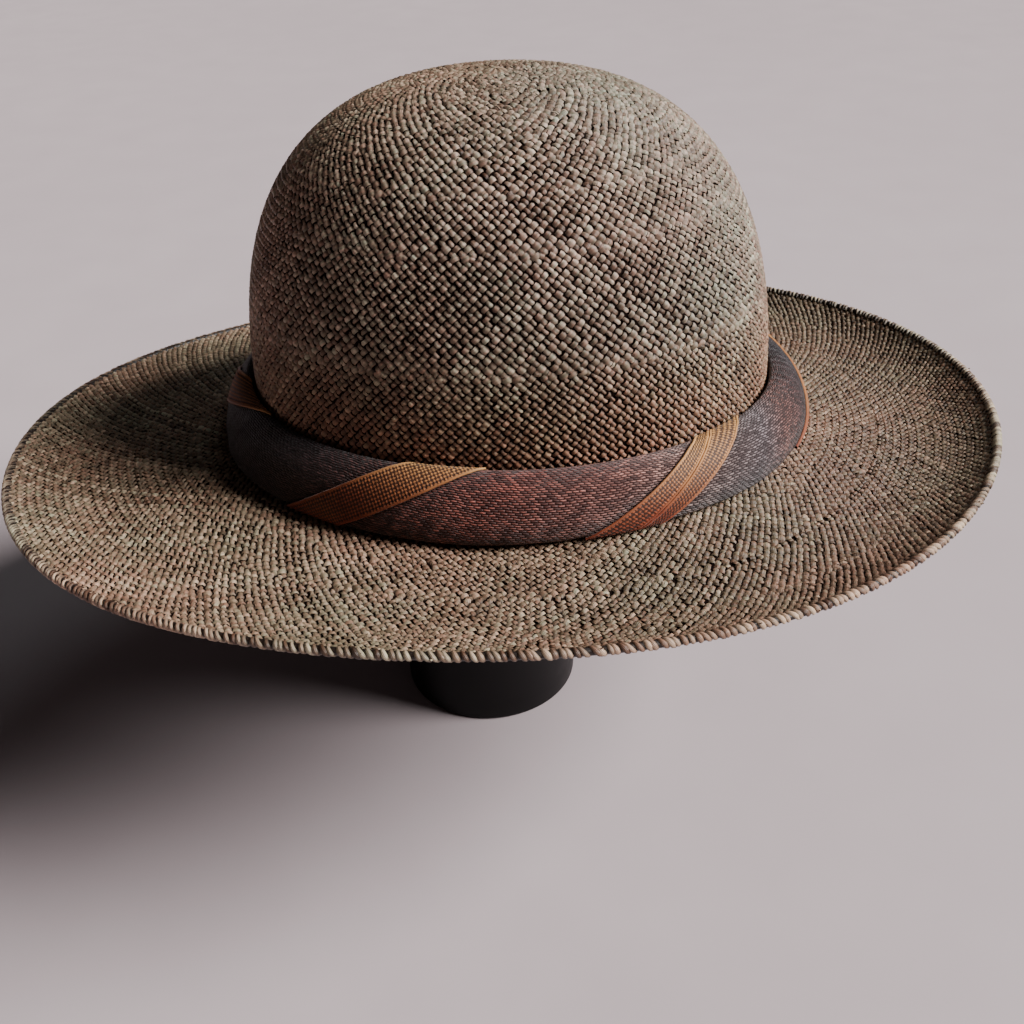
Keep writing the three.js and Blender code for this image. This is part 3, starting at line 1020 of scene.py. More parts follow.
@dataclass
class StrawWeave:
    """The interlaced straws of the crown and brim, wound outward both ways from the top.

    Each ring of crossings has every straw of one family on top, and the next ring every
    straw of the other. Where the crossings grow too wide, straws are added. Directions round
    the hat are in radians, all other sizes in metres.
    """

    form: HatForm
    first_distance: float = 0.0036
    first_count: int = 8
    end_room: float = 0.0015
    depth: float = 0.00112
    swing: float = 0.00066
    raised: float = 0.00018
    arch: float = 0.00054
    core_drop: float = 0.00016
    ease_rows: float = 2.0
    float_share: float = 0.27
    join_fullness: float = 0.40
    painted_light_reach: float = 0.030
    # Painted shade that darkens the brim's straws on the right, towards the back
    brim_shade: float = 0.22
    brim_shade_towards: float = 0.45
    brim_shade_swing: float = 0.5
    # Wear and painted pink bounce light, low on the crown, strongest at the front towards the left
    bounce_towards: float = math.radians(-110.0)
    bounce_swing: float = 0.4
    # Painted cool light, high on the crown and strongest on the right
    cool_light_towards: float = math.radians(-20.0)
    cool_light_swing: float = 0.38
    cool_light_from: float = 0.9
    tone_spread: float = 0.14
    width_spread: float = 0.11
    width_limits: tuple[float, float] = (0.72, 1.25)
    drift_spread: float = 0.05
    drift_sway: Sway = Sway(0.08, 0.02)
    width_sway: Sway = Sway(0.14, 0.013)
    lift_sway: Sway = Sway(0.00010, 0.007)
    tone_sway: Sway = Sway(0.16, 0.012)
    tilt_sway: Sway = Sway(0.00022, 0.006)
    join_rows: float = 1.6
    # The crest sets the painted shade: low at straw edges and where a straw dives under
    crest_middle: float = 0.5
    painted_shade_swing: float = 0.5
    edge_shade: float = 0.22
    crest_gain: float = 0.12
    pattern_shift: float = 5.0
    core_rows: int = 90
    core_steps: int = 200
    core_start: float = 1e-5
    core_radius: float = 0.1
    core_tone: float = 0.2
    gap_shade_crest: float = 0.05
    seed: int = 40
    straws: dict[Lean, StrawKind] = field(default_factory=lambda: {
        Lean.LEFT: StrawKind(0.79, 0.00006), Lean.RIGHT: StrawKind(0.63, -0.00004)})
    regions: tuple[RegionWeave, ...] = (
        RegionWeave(Region.CROWN, 0.00286, 0.00330, 1.04),
        RegionWeave(Region.BRIM, 0.00286, 0.00330, 0.90),
    )
    rows: list[float] = field(default_factory=list)
    zones: list[Zone] = field(default_factory=list)

    def plan(self) -> None:
        """Sets out the rings of crossings and the zones between added straws."""
        crown, brim = self.regions
        ends = {Region.CROWN: self.form.brim_start, Region.BRIM: self.form.rim - self.end_room}
        distance, count, first = self.first_distance, self.first_count, 0
        phase = {Lean.LEFT: 0.0, Lean.RIGHT: 0.0}
        self.rows = [distance]
        for weave in (crown, brim):
            while distance < ends[weave.region]:
                column = self.form.perimeter(distance) / count
                leaving = distance + column * 0.5 * weave.stretch >= ends[weave.region]
                if column > weave.widest or leaving:
                    last = len(self.rows) - 1
                    self.zones.append(Zone(weave.region, first, last, count, phase))
                    aim = brim.narrowest if leaving else weave.narrowest
                    grown = max(int(round(self.form.perimeter(distance) / aim)), count)
                    phase = self.next_phase(phase, last, count, grown)
                    first, count = last, grown
                    if leaving:
                        break
                    column = self.form.perimeter(distance) / count
                distance += column * 0.5 * weave.stretch
                self.rows.append(distance)

    @staticmethod
    def next_phase(phase: dict[Lean, float], row: int, count: int, grown: int) -> dict[Lean, float]:
        """Turns the next zone so that its straws go on from the last one's.

        Args:
            phase: The last zone's turn for each family.
            row: The row that both zones share.
            count: The last zone's crossings in a row.
            grown: The next zone's crossings in a row.

        Returns:
            The next zone's turn for each family.
        """
        slip = row * math.pi * (1.0 / count - 1.0 / grown)
        right = phase[Lean.RIGHT] + slip
        left = phase[Lean.LEFT] - slip
        step = FULL_TURN / grown
        left = right + round((left - right) / step) * step
        return {Lean.RIGHT: right, Lean.LEFT: left}

    def zone_straws(self, place: int, lean: Lean, rng: np.random.Generator,
                    earlier: Array | None) -> tuple[Surface, Array]:
        """Builds one family's straws in one zone.

        Args:
            place: The zone's number.
            lean: The family.
            rng: The random source.
            earlier: What each straw of the zone before was like, or None.

        Returns:
            The straws, and what each is like: tone, width and drift.
        """
        zone = self.zones[place]
        way = lean.value
        step = FULL_TURN / zone.count
        kind = self.straws[lean]
        whole = np.arange(zone.first, zone.last + 1)
        row = np.stack([whole - self.float_share, whole + self.float_share], axis=1).ravel()
        row = np.clip(row, zone.first, zone.last)
        distance = np.interp(row, np.arange(len(self.rows)), self.rows)
        number = np.arange(zone.count)
        traits = np.stack([
            np.clip(rng.normal(0.5, self.tone_spread, zone.count), 0.0, 1.0),
            np.clip(rng.normal(1.0, self.width_spread, zone.count), *self.width_limits),
            rng.normal(0.0, self.drift_spread, zone.count),
        ], axis=1)
        fresh = np.zeros(zone.count, dtype=bool)
        angle = (number[:, None] + way * row[None, :] / 2.0) * step + zone.phase[lean]
        if earlier is not None:
            before = self.zones[place - 1]
            parent = ((number + 0.5) * before.count / zone.count).astype(int)
            fresh = np.concatenate([[False], parent[1:] == parent[:-1]])
            traits[~fresh] = earlier[parent[~fresh]]
            old_step = FULL_TURN / before.count
            old = (parent[:, None] + way * row[None, :] / 2.0) * old_step + before.phase[lean]
            gap = (old - angle + math.pi) % FULL_TURN - math.pi
            ease = 1.0 - smooth_step((row - zone.first) / self.ease_rows)
            angle = angle + gap * ease[None, :]
        column = np.array([self.form.perimeter(d) for d in distance]) / zone.count
        drift = traits[:, 2:3] + self.drift_sway.along(rng, zone.count, distance)
        angle = angle + drift * step
        over = way * np.cos(math.pi * np.repeat(whole, 2))[None, :]
        width = column[None, :] * math.sqrt(0.5) * kind.fullness * traits[:, 1:2]
        width = width * (1.0 + self.width_sway.along(rng, zone.count, distance))
        from_first, from_last = row - zone.first, zone.last - row
        joins = np.exp(-from_first / self.join_rows) + np.exp(-from_last / self.join_rows)
        width = width * (1.0 + self.join_fullness * joins[None, :])
        lift = self.raised + kind.lift + self.swing * over - self.depth
        lift = lift + self.lift_sway.along(rng, zone.count, distance)
        tone = traits[:, 0:1] + self.tone_sway.along(rng, zone.count, distance)
        # The brim's straws are toned darker on the right, towards the back: painted shade.
        on_brim = smooth_step((distance - self.form.brim_start) / self.painted_light_reach)[None, :]
        tone = tone - self.brim_shade * on_brim * facing(angle, self.brim_shade_towards, self.brim_shade_swing)
        return self.ribbons(distance, angle, width / 2.0, lift, over, tone, rng), traits

    def ribbons(self, distance: Array, angle: Array, half: Array, lift: Array, over: Array,
                tone: Array, rng: np.random.Generator) -> Surface:
        """Builds arched ribbons along lines on the hat's face.

        Args:
            distance: The distance down the section of each step.
            angle: The angle of each step of each line.
            half: Half the ribbon's width.
            lift: The height of the ribbon's middle over the face.
            over: 1 where the ribbon is on top, -1 where it is beneath.
            tone: The straw's tone.
            rng: The random source.

        Returns:
            The ribbons as one surface.
        """
        count, steps = angle.shape
        spread = np.broadcast_to(distance[None, :], angle.shape)
        middle = self.form.point(spread, angle)
        normal = self.form.normal(spread, angle)
        ahead = unit(np.gradient(middle, axis=1))
        side = unit(np.cross(normal, ahead))
        tilt = self.tilt_sway.along(rng, count, distance)[..., None] * LANES
        rise = lift[..., None] - self.arch * LANES ** 2 + tilt
        points = middle[:, :, None, :] + side[:, :, None, :] * (half[..., None] * LANES)[..., None]
        points = points + normal[:, :, None, :] * rise[..., None]
        shape = (count, steps, len(LANES))
        along = spread * math.sqrt(2.0) + rng.uniform(0.0, self.pattern_shift, (count, 1))
        place = np.stack([
            np.broadcast_to(along[..., None], shape),
            np.broadcast_to(LANES * 0.5 + 0.5, shape),
        ], axis=-1)
        # The crest is low at each straw's edges and where it dives under, and there the hollow
        # colour is painted as shade.
        crest = np.broadcast_to(self.crest_middle + self.painted_shade_swing * over, (count, steps))
        crest = crest[..., None] - self.edge_shade * LANES ** 2
        # Low on the crown, strongest at the front towards the left, a rosy tint of wear and painted
        # pink bounce light; high on it, strongest on the right, painted cool light.
        above = (self.form.turn_start - distance) / self.painted_light_reach
        wear_and_bounce = np.where(above < 0.0, 0.0, np.exp(-above ** 2))[None, :]
        wear_and_bounce = wear_and_bounce * facing(angle, self.bounce_towards, self.bounce_swing)
        painted_cool_light = smooth_step(above - self.cool_light_from)[None, :]
        painted_cool_light = painted_cool_light * facing(angle, self.cool_light_towards, self.cool_light_swing)
        surface = Surface(
            points.reshape(-1, 3),
            grid_quads(count, steps, len(LANES)),
            place.reshape(-1, 2),
            {
                "tone": np.broadcast_to(tone[..., None], shape).ravel(),
                "crest": np.broadcast_to(crest + self.crest_gain, shape).ravel(),
                "wear_and_bounce": np.broadcast_to(wear_and_bounce[..., None], shape).ravel(),
                "painted_cool_light": np.broadcast_to(painted_cool_light[..., None], shape).ravel(),
            },
        )
        outward = np.broadcast_to(normal[:, :, None, :], points.shape).reshape(-1, 3)
        return surface.turned_out(outward)

    def gap_shade(self) -> Surface:
        """A dark sheet under the weave, which closes the gaps between the straws with painted
        shade.

        Returns:
            The surface.
        """
        distance = np.linspace(0.0, self.form.rim, self.core_rows)[None, :]
        angle = ring_angles(self.core_steps)[:, None]
        distance, angle = np.broadcast_arrays(distance, angle)
        distance = np.maximum(distance, self.core_start)
        normal = self.form.normal(distance, angle)
        points = self.form.point(distance, angle) - normal * (self.depth + self.core_drop)
        place = np.stack([distance, angle * self.core_radius], axis=-1)
        size = points.shape[0] * points.shape[1]
        surface = Surface(
            points.reshape(-1, 3),
            grid_quads(1, points.shape[0], points.shape[1], ring_along=True),
            place.reshape(-1, 2),
            {"tone": np.full(size, self.core_tone), "crest": np.full(size, self.gap_shade_crest)},
        )
        return surface.turned_out(normal.reshape(-1, 3))

    def build(self, material: bpy.types.Material, shade: bpy.types.Material) -> None:
        """Builds the straws of both regions, and the sheet of painted shade under them in its
        darker finish.

        Args:
            material: The straw's finish.
            shade: The finish of the sheet of painted shade.
        """
        self.plan()
        for lean in Lean:
            rng = np.random.default_rng(self.seed + lean.value)
            traits = None
            parts: dict[Region, list[Surface]] = {region: [] for region in Region}
            for place, zone in enumerate(self.zones):
                surface, traits = self.zone_straws(place, lean, rng, traits)
                parts[zone.region].append(surface)
            for region, surfaces in parts.items():
                name = f"straw_{region.value}_{lean.name.lower()}"
                piece = Surface.joined(surfaces).piece(name, material, "straw")
                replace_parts(piece, "woven_body")
        gap_shade = self.gap_shade().piece("straw_gap_shade", shade, "straw")
        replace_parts(gap_shade, "woven_body")


@dataclass
class Strands:
    """Round or flattened strands that follow given lines."""

    sides: int = 8
    painted_shade_swing: float = 0.16

    def tubes(self, lines: Array, normal: Array, half_width: Array, half_depth: Array,
              tone: Array, crest: Array, ring: bool) -> Surface:
        """Builds one tube for each line.

        Args:
            lines: The points of each line.
            normal: The outward direction at each of them.
            half_width: Half the tube's width at each point.
            half_depth: Half the tube's thickness at each point.
            tone: The tone at each point.
            crest: How far each point is on top, 0 to 1; low values take the hollow colour as
                painted shade.
            ring: True if the lines close on themselves.

        Returns:
            The tubes as one surface.
        """
        count, steps, _ = lines.shape
        if ring:
            ahead = unit(np.roll(lines, -1, axis=1) - np.roll(lines, 1, axis=1))
        else:
            ahead = unit(np.gradient(lines, axis=1))
        side = unit(np.cross(normal, ahead))
        up = unit(np.cross(ahead, side))
        turn = np.arange(self.sides) * (FULL_TURN / self.sides)
        offset = side[:, :, None, :] * (half_width[..., None] * np.cos(turn))[..., None]
        offset = offset + up[:, :, None, :] * (half_depth[..., None] * np.sin(turn))[..., None]
        points = lines[:, :, None, :] + offset
        shape = (count, steps, self.sides)
        hop = np.linalg.norm(np.diff(lines, axis=1), axis=2)
        along = np.concatenate([np.zeros((count, 1)), np.cumsum(hop, axis=1)], axis=1)
        place = np.stack([
            np.broadcast_to(along[..., None], shape),
            np.broadcast_to(np.abs(turn / math.pi - 1.0), shape),
        ], axis=-1)
        # The upper side of each strand is painted lighter and its lower side darker: painted light
        # and shade.
        shade = crest[..., None] + self.painted_shade_swing * np.sin(turn)
        surface = Surface(
            points.reshape(-1, 3),
            grid_quads(count, steps, self.sides, ring_along=ring, ring_across=True),
            place.reshape(-1, 2),
            {
                "tone": np.broadcast_to(tone[..., None], shape).ravel(),
                "crest": np.broadcast_to(shade, shape).ravel(),
            },
        )
        return surface.turned_out(offset.reshape(-1, 3))


@dataclass
class RimStitches:
    """The overcast edge of the brim: slanted straws sewn round a cord painted dark as shade, and
    cut ends.
    """

    form: HatForm
    count: int = 540
    steps: int = 8
    reach: float = 0.00112
    half_width: float = 0.00094
    half_depth: float = 0.00054
    slant: float = -0.0026
    inset: float = 0.00170
    depth: float = 0.00122
    jitter: float = 0.17
    first_bend: float = 138.0
    last_bend: float = -128.0
    stitch_shift: float = 0.0006
    reach_range: tuple[float, float] = (0.88, 1.12)
    lean_range: tuple[float, float] = (0.6, 1.35)
    width_range: tuple[float, float] = (0.80, 1.12)
    bright_range: tuple[float, float] = (0.25, 1.0)
    clearance: float = 1.05
    tail: float = 0.9
    tail_from: float = 1.3
    tail_over: float = 1.1
    taper_span: tuple[float, float] = (0.16, 0.84)
    taper_power: float = 0.6
    tone: float = 0.62
    tone_spread: float = 0.36
    crest_least: float = 0.26
    crest_gain: float = 0.70
    crest_span: tuple[float, float] = (0.04, 0.96)
    cord_steps: int = 540
    cord_shift: float = 0.0004
    cord_fullness: float = 1.12
    # The cord's low tone and crest paint it dark as the shade between the stitches
    cord_tone: float = 0.15
    cord_crest: float = 0.14
    stray_ends: int = 30
    stray_length: float = 0.0030
    stray_lengths: tuple[float, float] = (0.5, 1.0)
    stray_span: tuple[float, float] = (-0.5, 1.0)
    stray_sides: int = 6
    stray_width: float = 0.00055
    stray_flatness: float = 0.6
    stray_taper: tuple[float, ...] = (1.0, 1.0, 0.9, 0.55)
    stray_turn: tuple[float, float] = (-0.9, 0.9)
    stray_rise: tuple[float, float] = (-0.4, 0.5)
    stray_tone: float = 0.8
    seed: int = 7

    def frame(self, angle: Array) -> tuple[Array, Array, Array]:
        """The rim's point, outward direction and normal at angles round the hat.

        Args:
            angle: The angle of each point round the hat.

        Returns:
            The points, the outward directions and the normals.
        """
        back, further_back = 0.0008, 0.002
        rim = np.full_like(angle, self.form.rim)
        point = self.form.point(rim, angle)
        normal = self.form.normal(rim - back, angle)
        outward = unit(point - self.form.point(rim - further_back, angle))
        return point - normal * self.depth, outward, normal

    def stitches(self, rng: np.random.Generator) -> Surface:
        """The straws that wrap the edge, from the upper side to the lower.

        Args:
            rng: The random source.

        Returns:
            The stitches as one surface.
        """
        number = np.arange(self.count) + rng.normal(0.0, self.jitter, self.count)
        angle = number * (FULL_TURN / self.count)
        point, outward, normal = (part[:, None, :] for part in self.frame(angle))
        ahead = unit(np.cross(normal, outward))
        first, last = math.radians(self.first_bend), math.radians(self.last_bend)
        bend = np.linspace(first, last, self.steps)[None, :, None]
        size = (self.reach * rng.uniform(*self.reach_range, self.count))[:, None, None]
        size = np.minimum(size, self.inset - self.half_depth * self.clearance)
        tail = 1.0 + self.tail * smooth_step((np.abs(bend) - self.tail_from) / self.tail_over)
        lean = (self.slant * rng.uniform(*self.lean_range, self.count))[:, None, None]
        centre = point - outward * (self.inset - self.stitch_shift)
        lines = centre + outward * size * tail * np.cos(bend) + normal * size * np.sin(bend)
        lines = lines + ahead * lean * bend / math.pi
        shape = (self.count, self.steps)
        narrowing = np.sin(np.linspace(*self.taper_span, self.steps) * math.pi)
        taper = narrowing[None, :] ** self.taper_power
        width = self.half_width * taper * rng.uniform(*self.width_range, (self.count, 1))
        depth = np.full(shape, self.half_depth) * taper
        away = unit(lines - centre)
        tones = rng.normal(self.tone, self.tone_spread, (self.count, 1))
        # Each stitch's ends, where it turns under, take the hollow colour as painted shade; bright
        # varies it at random from stitch to stitch.
        shown = np.sin(np.linspace(*self.crest_span, self.steps) * math.pi)
        bright = rng.uniform(*self.bright_range, (self.count, 1))
        crest = self.crest_least + self.crest_gain * shown * bright
        return Strands().tubes(lines, away, width, depth, np.broadcast_to(tones, shape), crest,
                               ring=False)

    def cord(self) -> Surface:
        """The cord inside the stitches, painted dark as the shade between them.

        Returns:
            The surface.
        """
        angle = ring_angles(self.cord_steps)
        point, outward, _ = self.frame(angle)
        lines = (point - outward * (self.inset - self.cord_shift))[None, ...]
        shape = (1, len(angle))
        size = np.full(shape, self.reach * self.cord_fullness)
        tone, crest = np.full(shape, self.cord_tone), np.full(shape, self.cord_crest)
        return Strands().tubes(lines, outward[None, ...], size, size, tone, crest, ring=True)

    def strays(self, rng: np.random.Generator) -> Surface:
        """Short cut ends of straw that stand out from the edge.

        Args:
            rng: The random source.

        Returns:
            The ends as one surface.
        """
        angle = rng.uniform(0.0, FULL_TURN, self.stray_ends)
        point, outward, normal = self.frame(angle)
        turn = rng.uniform(*self.stray_turn, (self.stray_ends, 1))
        along = unit(np.cross(normal, outward)) * turn
        rise = normal * rng.uniform(*self.stray_rise, (self.stray_ends, 1))
        heading = unit(outward + along + rise)
        steps = len(self.stray_taper)
        reach = np.linspace(*self.stray_span, steps)[None, :, None] * self.stray_length
        length = rng.uniform(*self.stray_lengths, (self.stray_ends, 1, 1))
        lines = (point - outward * self.inset)[:, None, :] + heading[:, None, :] * reach * length
        shape = (self.stray_ends, steps)
        normals = np.broadcast_to(normal[:, None, :], lines.shape)
        width = np.full(shape, self.stray_width) * np.array(self.stray_taper)
        depth = width * self.stray_flatness
        tone = np.full(shape, self.stray_tone)
        strands = Strands(sides=self.stray_sides)
        return strands.tubes(lines, normals, width, depth, tone, tone, ring=False)

    def build(self, material: bpy.types.Material) -> None:
        """Builds the cord, the stitches and the loose ends.

        Args:
            material: The straw's finish.
        """
        rng = np.random.default_rng(self.seed)
        parts = {
            "rim_stitches": self.stitches(rng),
            "rim_cord": self.cord(),
            "rim_straw_ends": self.strays(rng),
        }
        for name, surface in parts.items():
            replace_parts(surface.piece(name, material, "straw"), "woven_body")


@dataclass
class CrownButton:
    """The small knot of straw at the middle of the crown's top, where the weave starts."""

    form: HatForm
    radius: float = 0.0046
    height: float = 0.0011
    ridges: int = 9
    ridge_height: float = 0.00022
    swirl: float = 2.2
    dome_power: float = 2.5
    innermost: float = 0.02
    normal_shift: float = 0.001
    tone: float = 0.6
    crest_middle: float = 0.7
    painted_shade_swing: float = 0.25
    depth: float = 0.00085
    rows: int = 12
    steps_round: int = 72

    def build(self, material: bpy.types.Material) -> None:
        """Builds the knot.

        Args:
            material: The straw's finish.
        """
        share = np.linspace(self.innermost, 1.0, self.rows)[None, :]
        angle = ring_angles(self.steps_round)[:, None]
        distance, angle = np.broadcast_arrays(share * self.radius, angle)
        swirl = np.cos(self.ridges * angle + self.swirl * share)
        rise = self.height * (1.0 - share ** self.dome_power)
        rise = rise + self.ridge_height * swirl * np.sin(share * math.pi)
        # The grooves between the ridges take the hollow colour: painted shade.
        crest = self.crest_middle + self.painted_shade_swing * swirl
        normal = self.form.normal(distance + self.normal_shift, angle)
        points = self.form.point(distance, angle) + normal * (rise - self.depth)[..., None]
        place = np.stack([distance, angle], axis=-1)
        surface = Surface(
            points.reshape(-1, 3),
            grid_quads(1, self.steps_round, self.rows, ring_along=True),
            place.reshape(-1, 2),
            {
                "tone": np.full(distance.size, self.tone),
                "crest": np.broadcast_to(crest, distance.shape).ravel(),
            },
        )
        made = surface.turned_out(normal.reshape(-1, 3)).piece("crown_button", material, "straw")
        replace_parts(made, "woven_body")


# Band


@dataclass(frozen=True)
class FaceRow:
    """A place on the band's face, in millimetres from the crown's wall and foot."""

    out: float
    up: float


@dataclass(frozen=True)
class StripEdges:
    """Where a copper strip starts and ends, in degrees from the front.

    The higher the redness, the further up the strip its red foot reaches. The cords lie side by
    side along each edge.
    """

    node: str
    upper_foot: float
    upper_head: float
    lower_foot: float
    lower_head: float
    bow: float = 0.0
    redness: float = 1.3
    cords: int = 1


@dataclass(frozen=True)
class GroundColourAndLight:
    """The ribbon's ground at a place round the hat, in degrees from the front, partly its own
    colour and partly painted light and shade.
    """

    azimuth: float
    red: float
    green: float
    blue: float


@dataclass(frozen=True)
class BandForm:
    """The band's shape round the foot of the crown, in millimetres."""

    form: HatForm
    gap: float = 0.3
    thickness: float = 15.0
    height: float = 20.5
    folds: int = 6
    fold_depth: float = 0.7
    fold_lean: float = 2.0
    swing: float = 1.5
    swing_towards: float = -30.0
    pinch: float = 1.7
    pinch_at: float = 12.0
    pinch_span: float = 32.0
    rise: float = 2.8
    rise_towards: float = -150.0
    last_strip_row: int = 8
    steps_for_row: int = 40
    face: tuple[FaceRow, ...] = (
        FaceRow(12.2, 0.4),
        FaceRow(14.4, 1.6),
        FaceRow(15.0, 4.0),
        FaceRow(14.6, 7.5),
        FaceRow(13.2, 11.5),
        FaceRow(10.8, 15.5),
        FaceRow(7.4, 18.8),
        FaceRow(3.8, 20.5),
        FaceRow(1.3, 20.3),
        FaceRow(0.5, 18.6),
        FaceRow(0.4, 13.5),
    )

    @cached_property
    def spline(self) -> tuple[Array, Array, Array]:
        """The face as a smooth curve: its rows, and how far out and up it is at each.

        Returns:
            The row numbers, and the distances out and up, in millimetres.
        """
        out = np.array([row.out for row in self.face])
        up = np.array([row.up for row in self.face])
        rows = np.linspace(0.0, len(out) - 1.0, self.steps_for_row * (len(out) - 1) + 1)
        lower = np.minimum(rows.astype(int), len(out) - 2)
        share = rows - lower
        curves = []
        for values in (out, up):
            padded = np.concatenate([values[:1], values, values[-1:]])
            p0, p1, p2, p3 = (padded[lower + shift] for shift in range(4))
            curve = 2.0 * p1 + (p2 - p0) * share
            curve = curve + (2.0 * p0 - 5.0 * p1 + 4.0 * p2 - p3) * share ** 2
            curve = curve + (3.0 * p1 - p0 - 3.0 * p2 + p3) * share ** 3
            curves.append(curve / 2.0)
        return rows, curves[0], curves[1]

    def swell(self, out: Array, up: Array, angle: Array) -> Array:
        """How far the face swells out, between the strips and on its thicker side.

        Args:
            out: The distance from the crown's wall.
            up: The height over its foot.
            angle: The angle of each point round the hat.

        Returns:
            The swelling, in millimetres.
        """
        lean = self.fold_lean * (up / self.height - 0.5)
        fold = self.fold_depth * np.cos(self.folds * (angle + math.pi / 2.0) - lean)
        swing = self.swing * np.cos(angle - math.radians(self.swing_towards))
        away = np.degrees(np.arccos(np.cos(angle - math.radians(self.pinch_at))))
        pinch = self.pinch * np.exp(-(away / self.pinch_span) ** 2)
        return (fold + swing - pinch) * (out / self.thickness)

    def climb(self, up: Array, angle: Array) -> Array:
        """How far the face rises above its mean height."""
        return self.rise * np.cos(angle - math.radians(self.rise_towards)) * (up / self.height) ** 2

    def point(self, row: Array, angle: Array, lift: Array) -> Array:
        """A point of the band's face, lifted off it, in metres.

        Args:
            row: The row of the face, with parts of a row.
            angle: The angle of each point round the hat.
            lift: The height over the face, in metres.

        Returns:
            The points, in metres.
        """
        rows, outs, ups = self.spline
        out, up = np.interp(row, rows, outs), np.interp(row, rows, ups)
        step = 0.25
        lean_out = np.interp(row + step, rows, outs) - np.interp(row - step, rows, outs)
        lean_up = np.interp(row + step, rows, ups) - np.interp(row - step, rows, ups)
        length = np.maximum(np.hypot(lean_out, lean_up), 1e-9)
        out = out + self.swell(out, up, angle) + lift / MM * lean_up / length
        up = up + self.climb(up, angle) - lift / MM * lean_out / length
        return self.form.beside(out, up, angle)

    def row_share(self, row: Array) -> Array:
        """The distance up the face to a row, as a share of the way to the last strip row.

        Args:
            row: The row of the face, with parts of a row.

        Returns:
            The shares.
        """
        out = np.array([place.out for place in self.face[: self.last_strip_row + 1]])
        up = np.array([place.up for place in self.face[: self.last_strip_row + 1]])
        length = np.concatenate([[0.0], np.cumsum(np.hypot(np.diff(out), np.diff(up)))])
        return np.interp(row, np.arange(len(out)), length / length[-1])


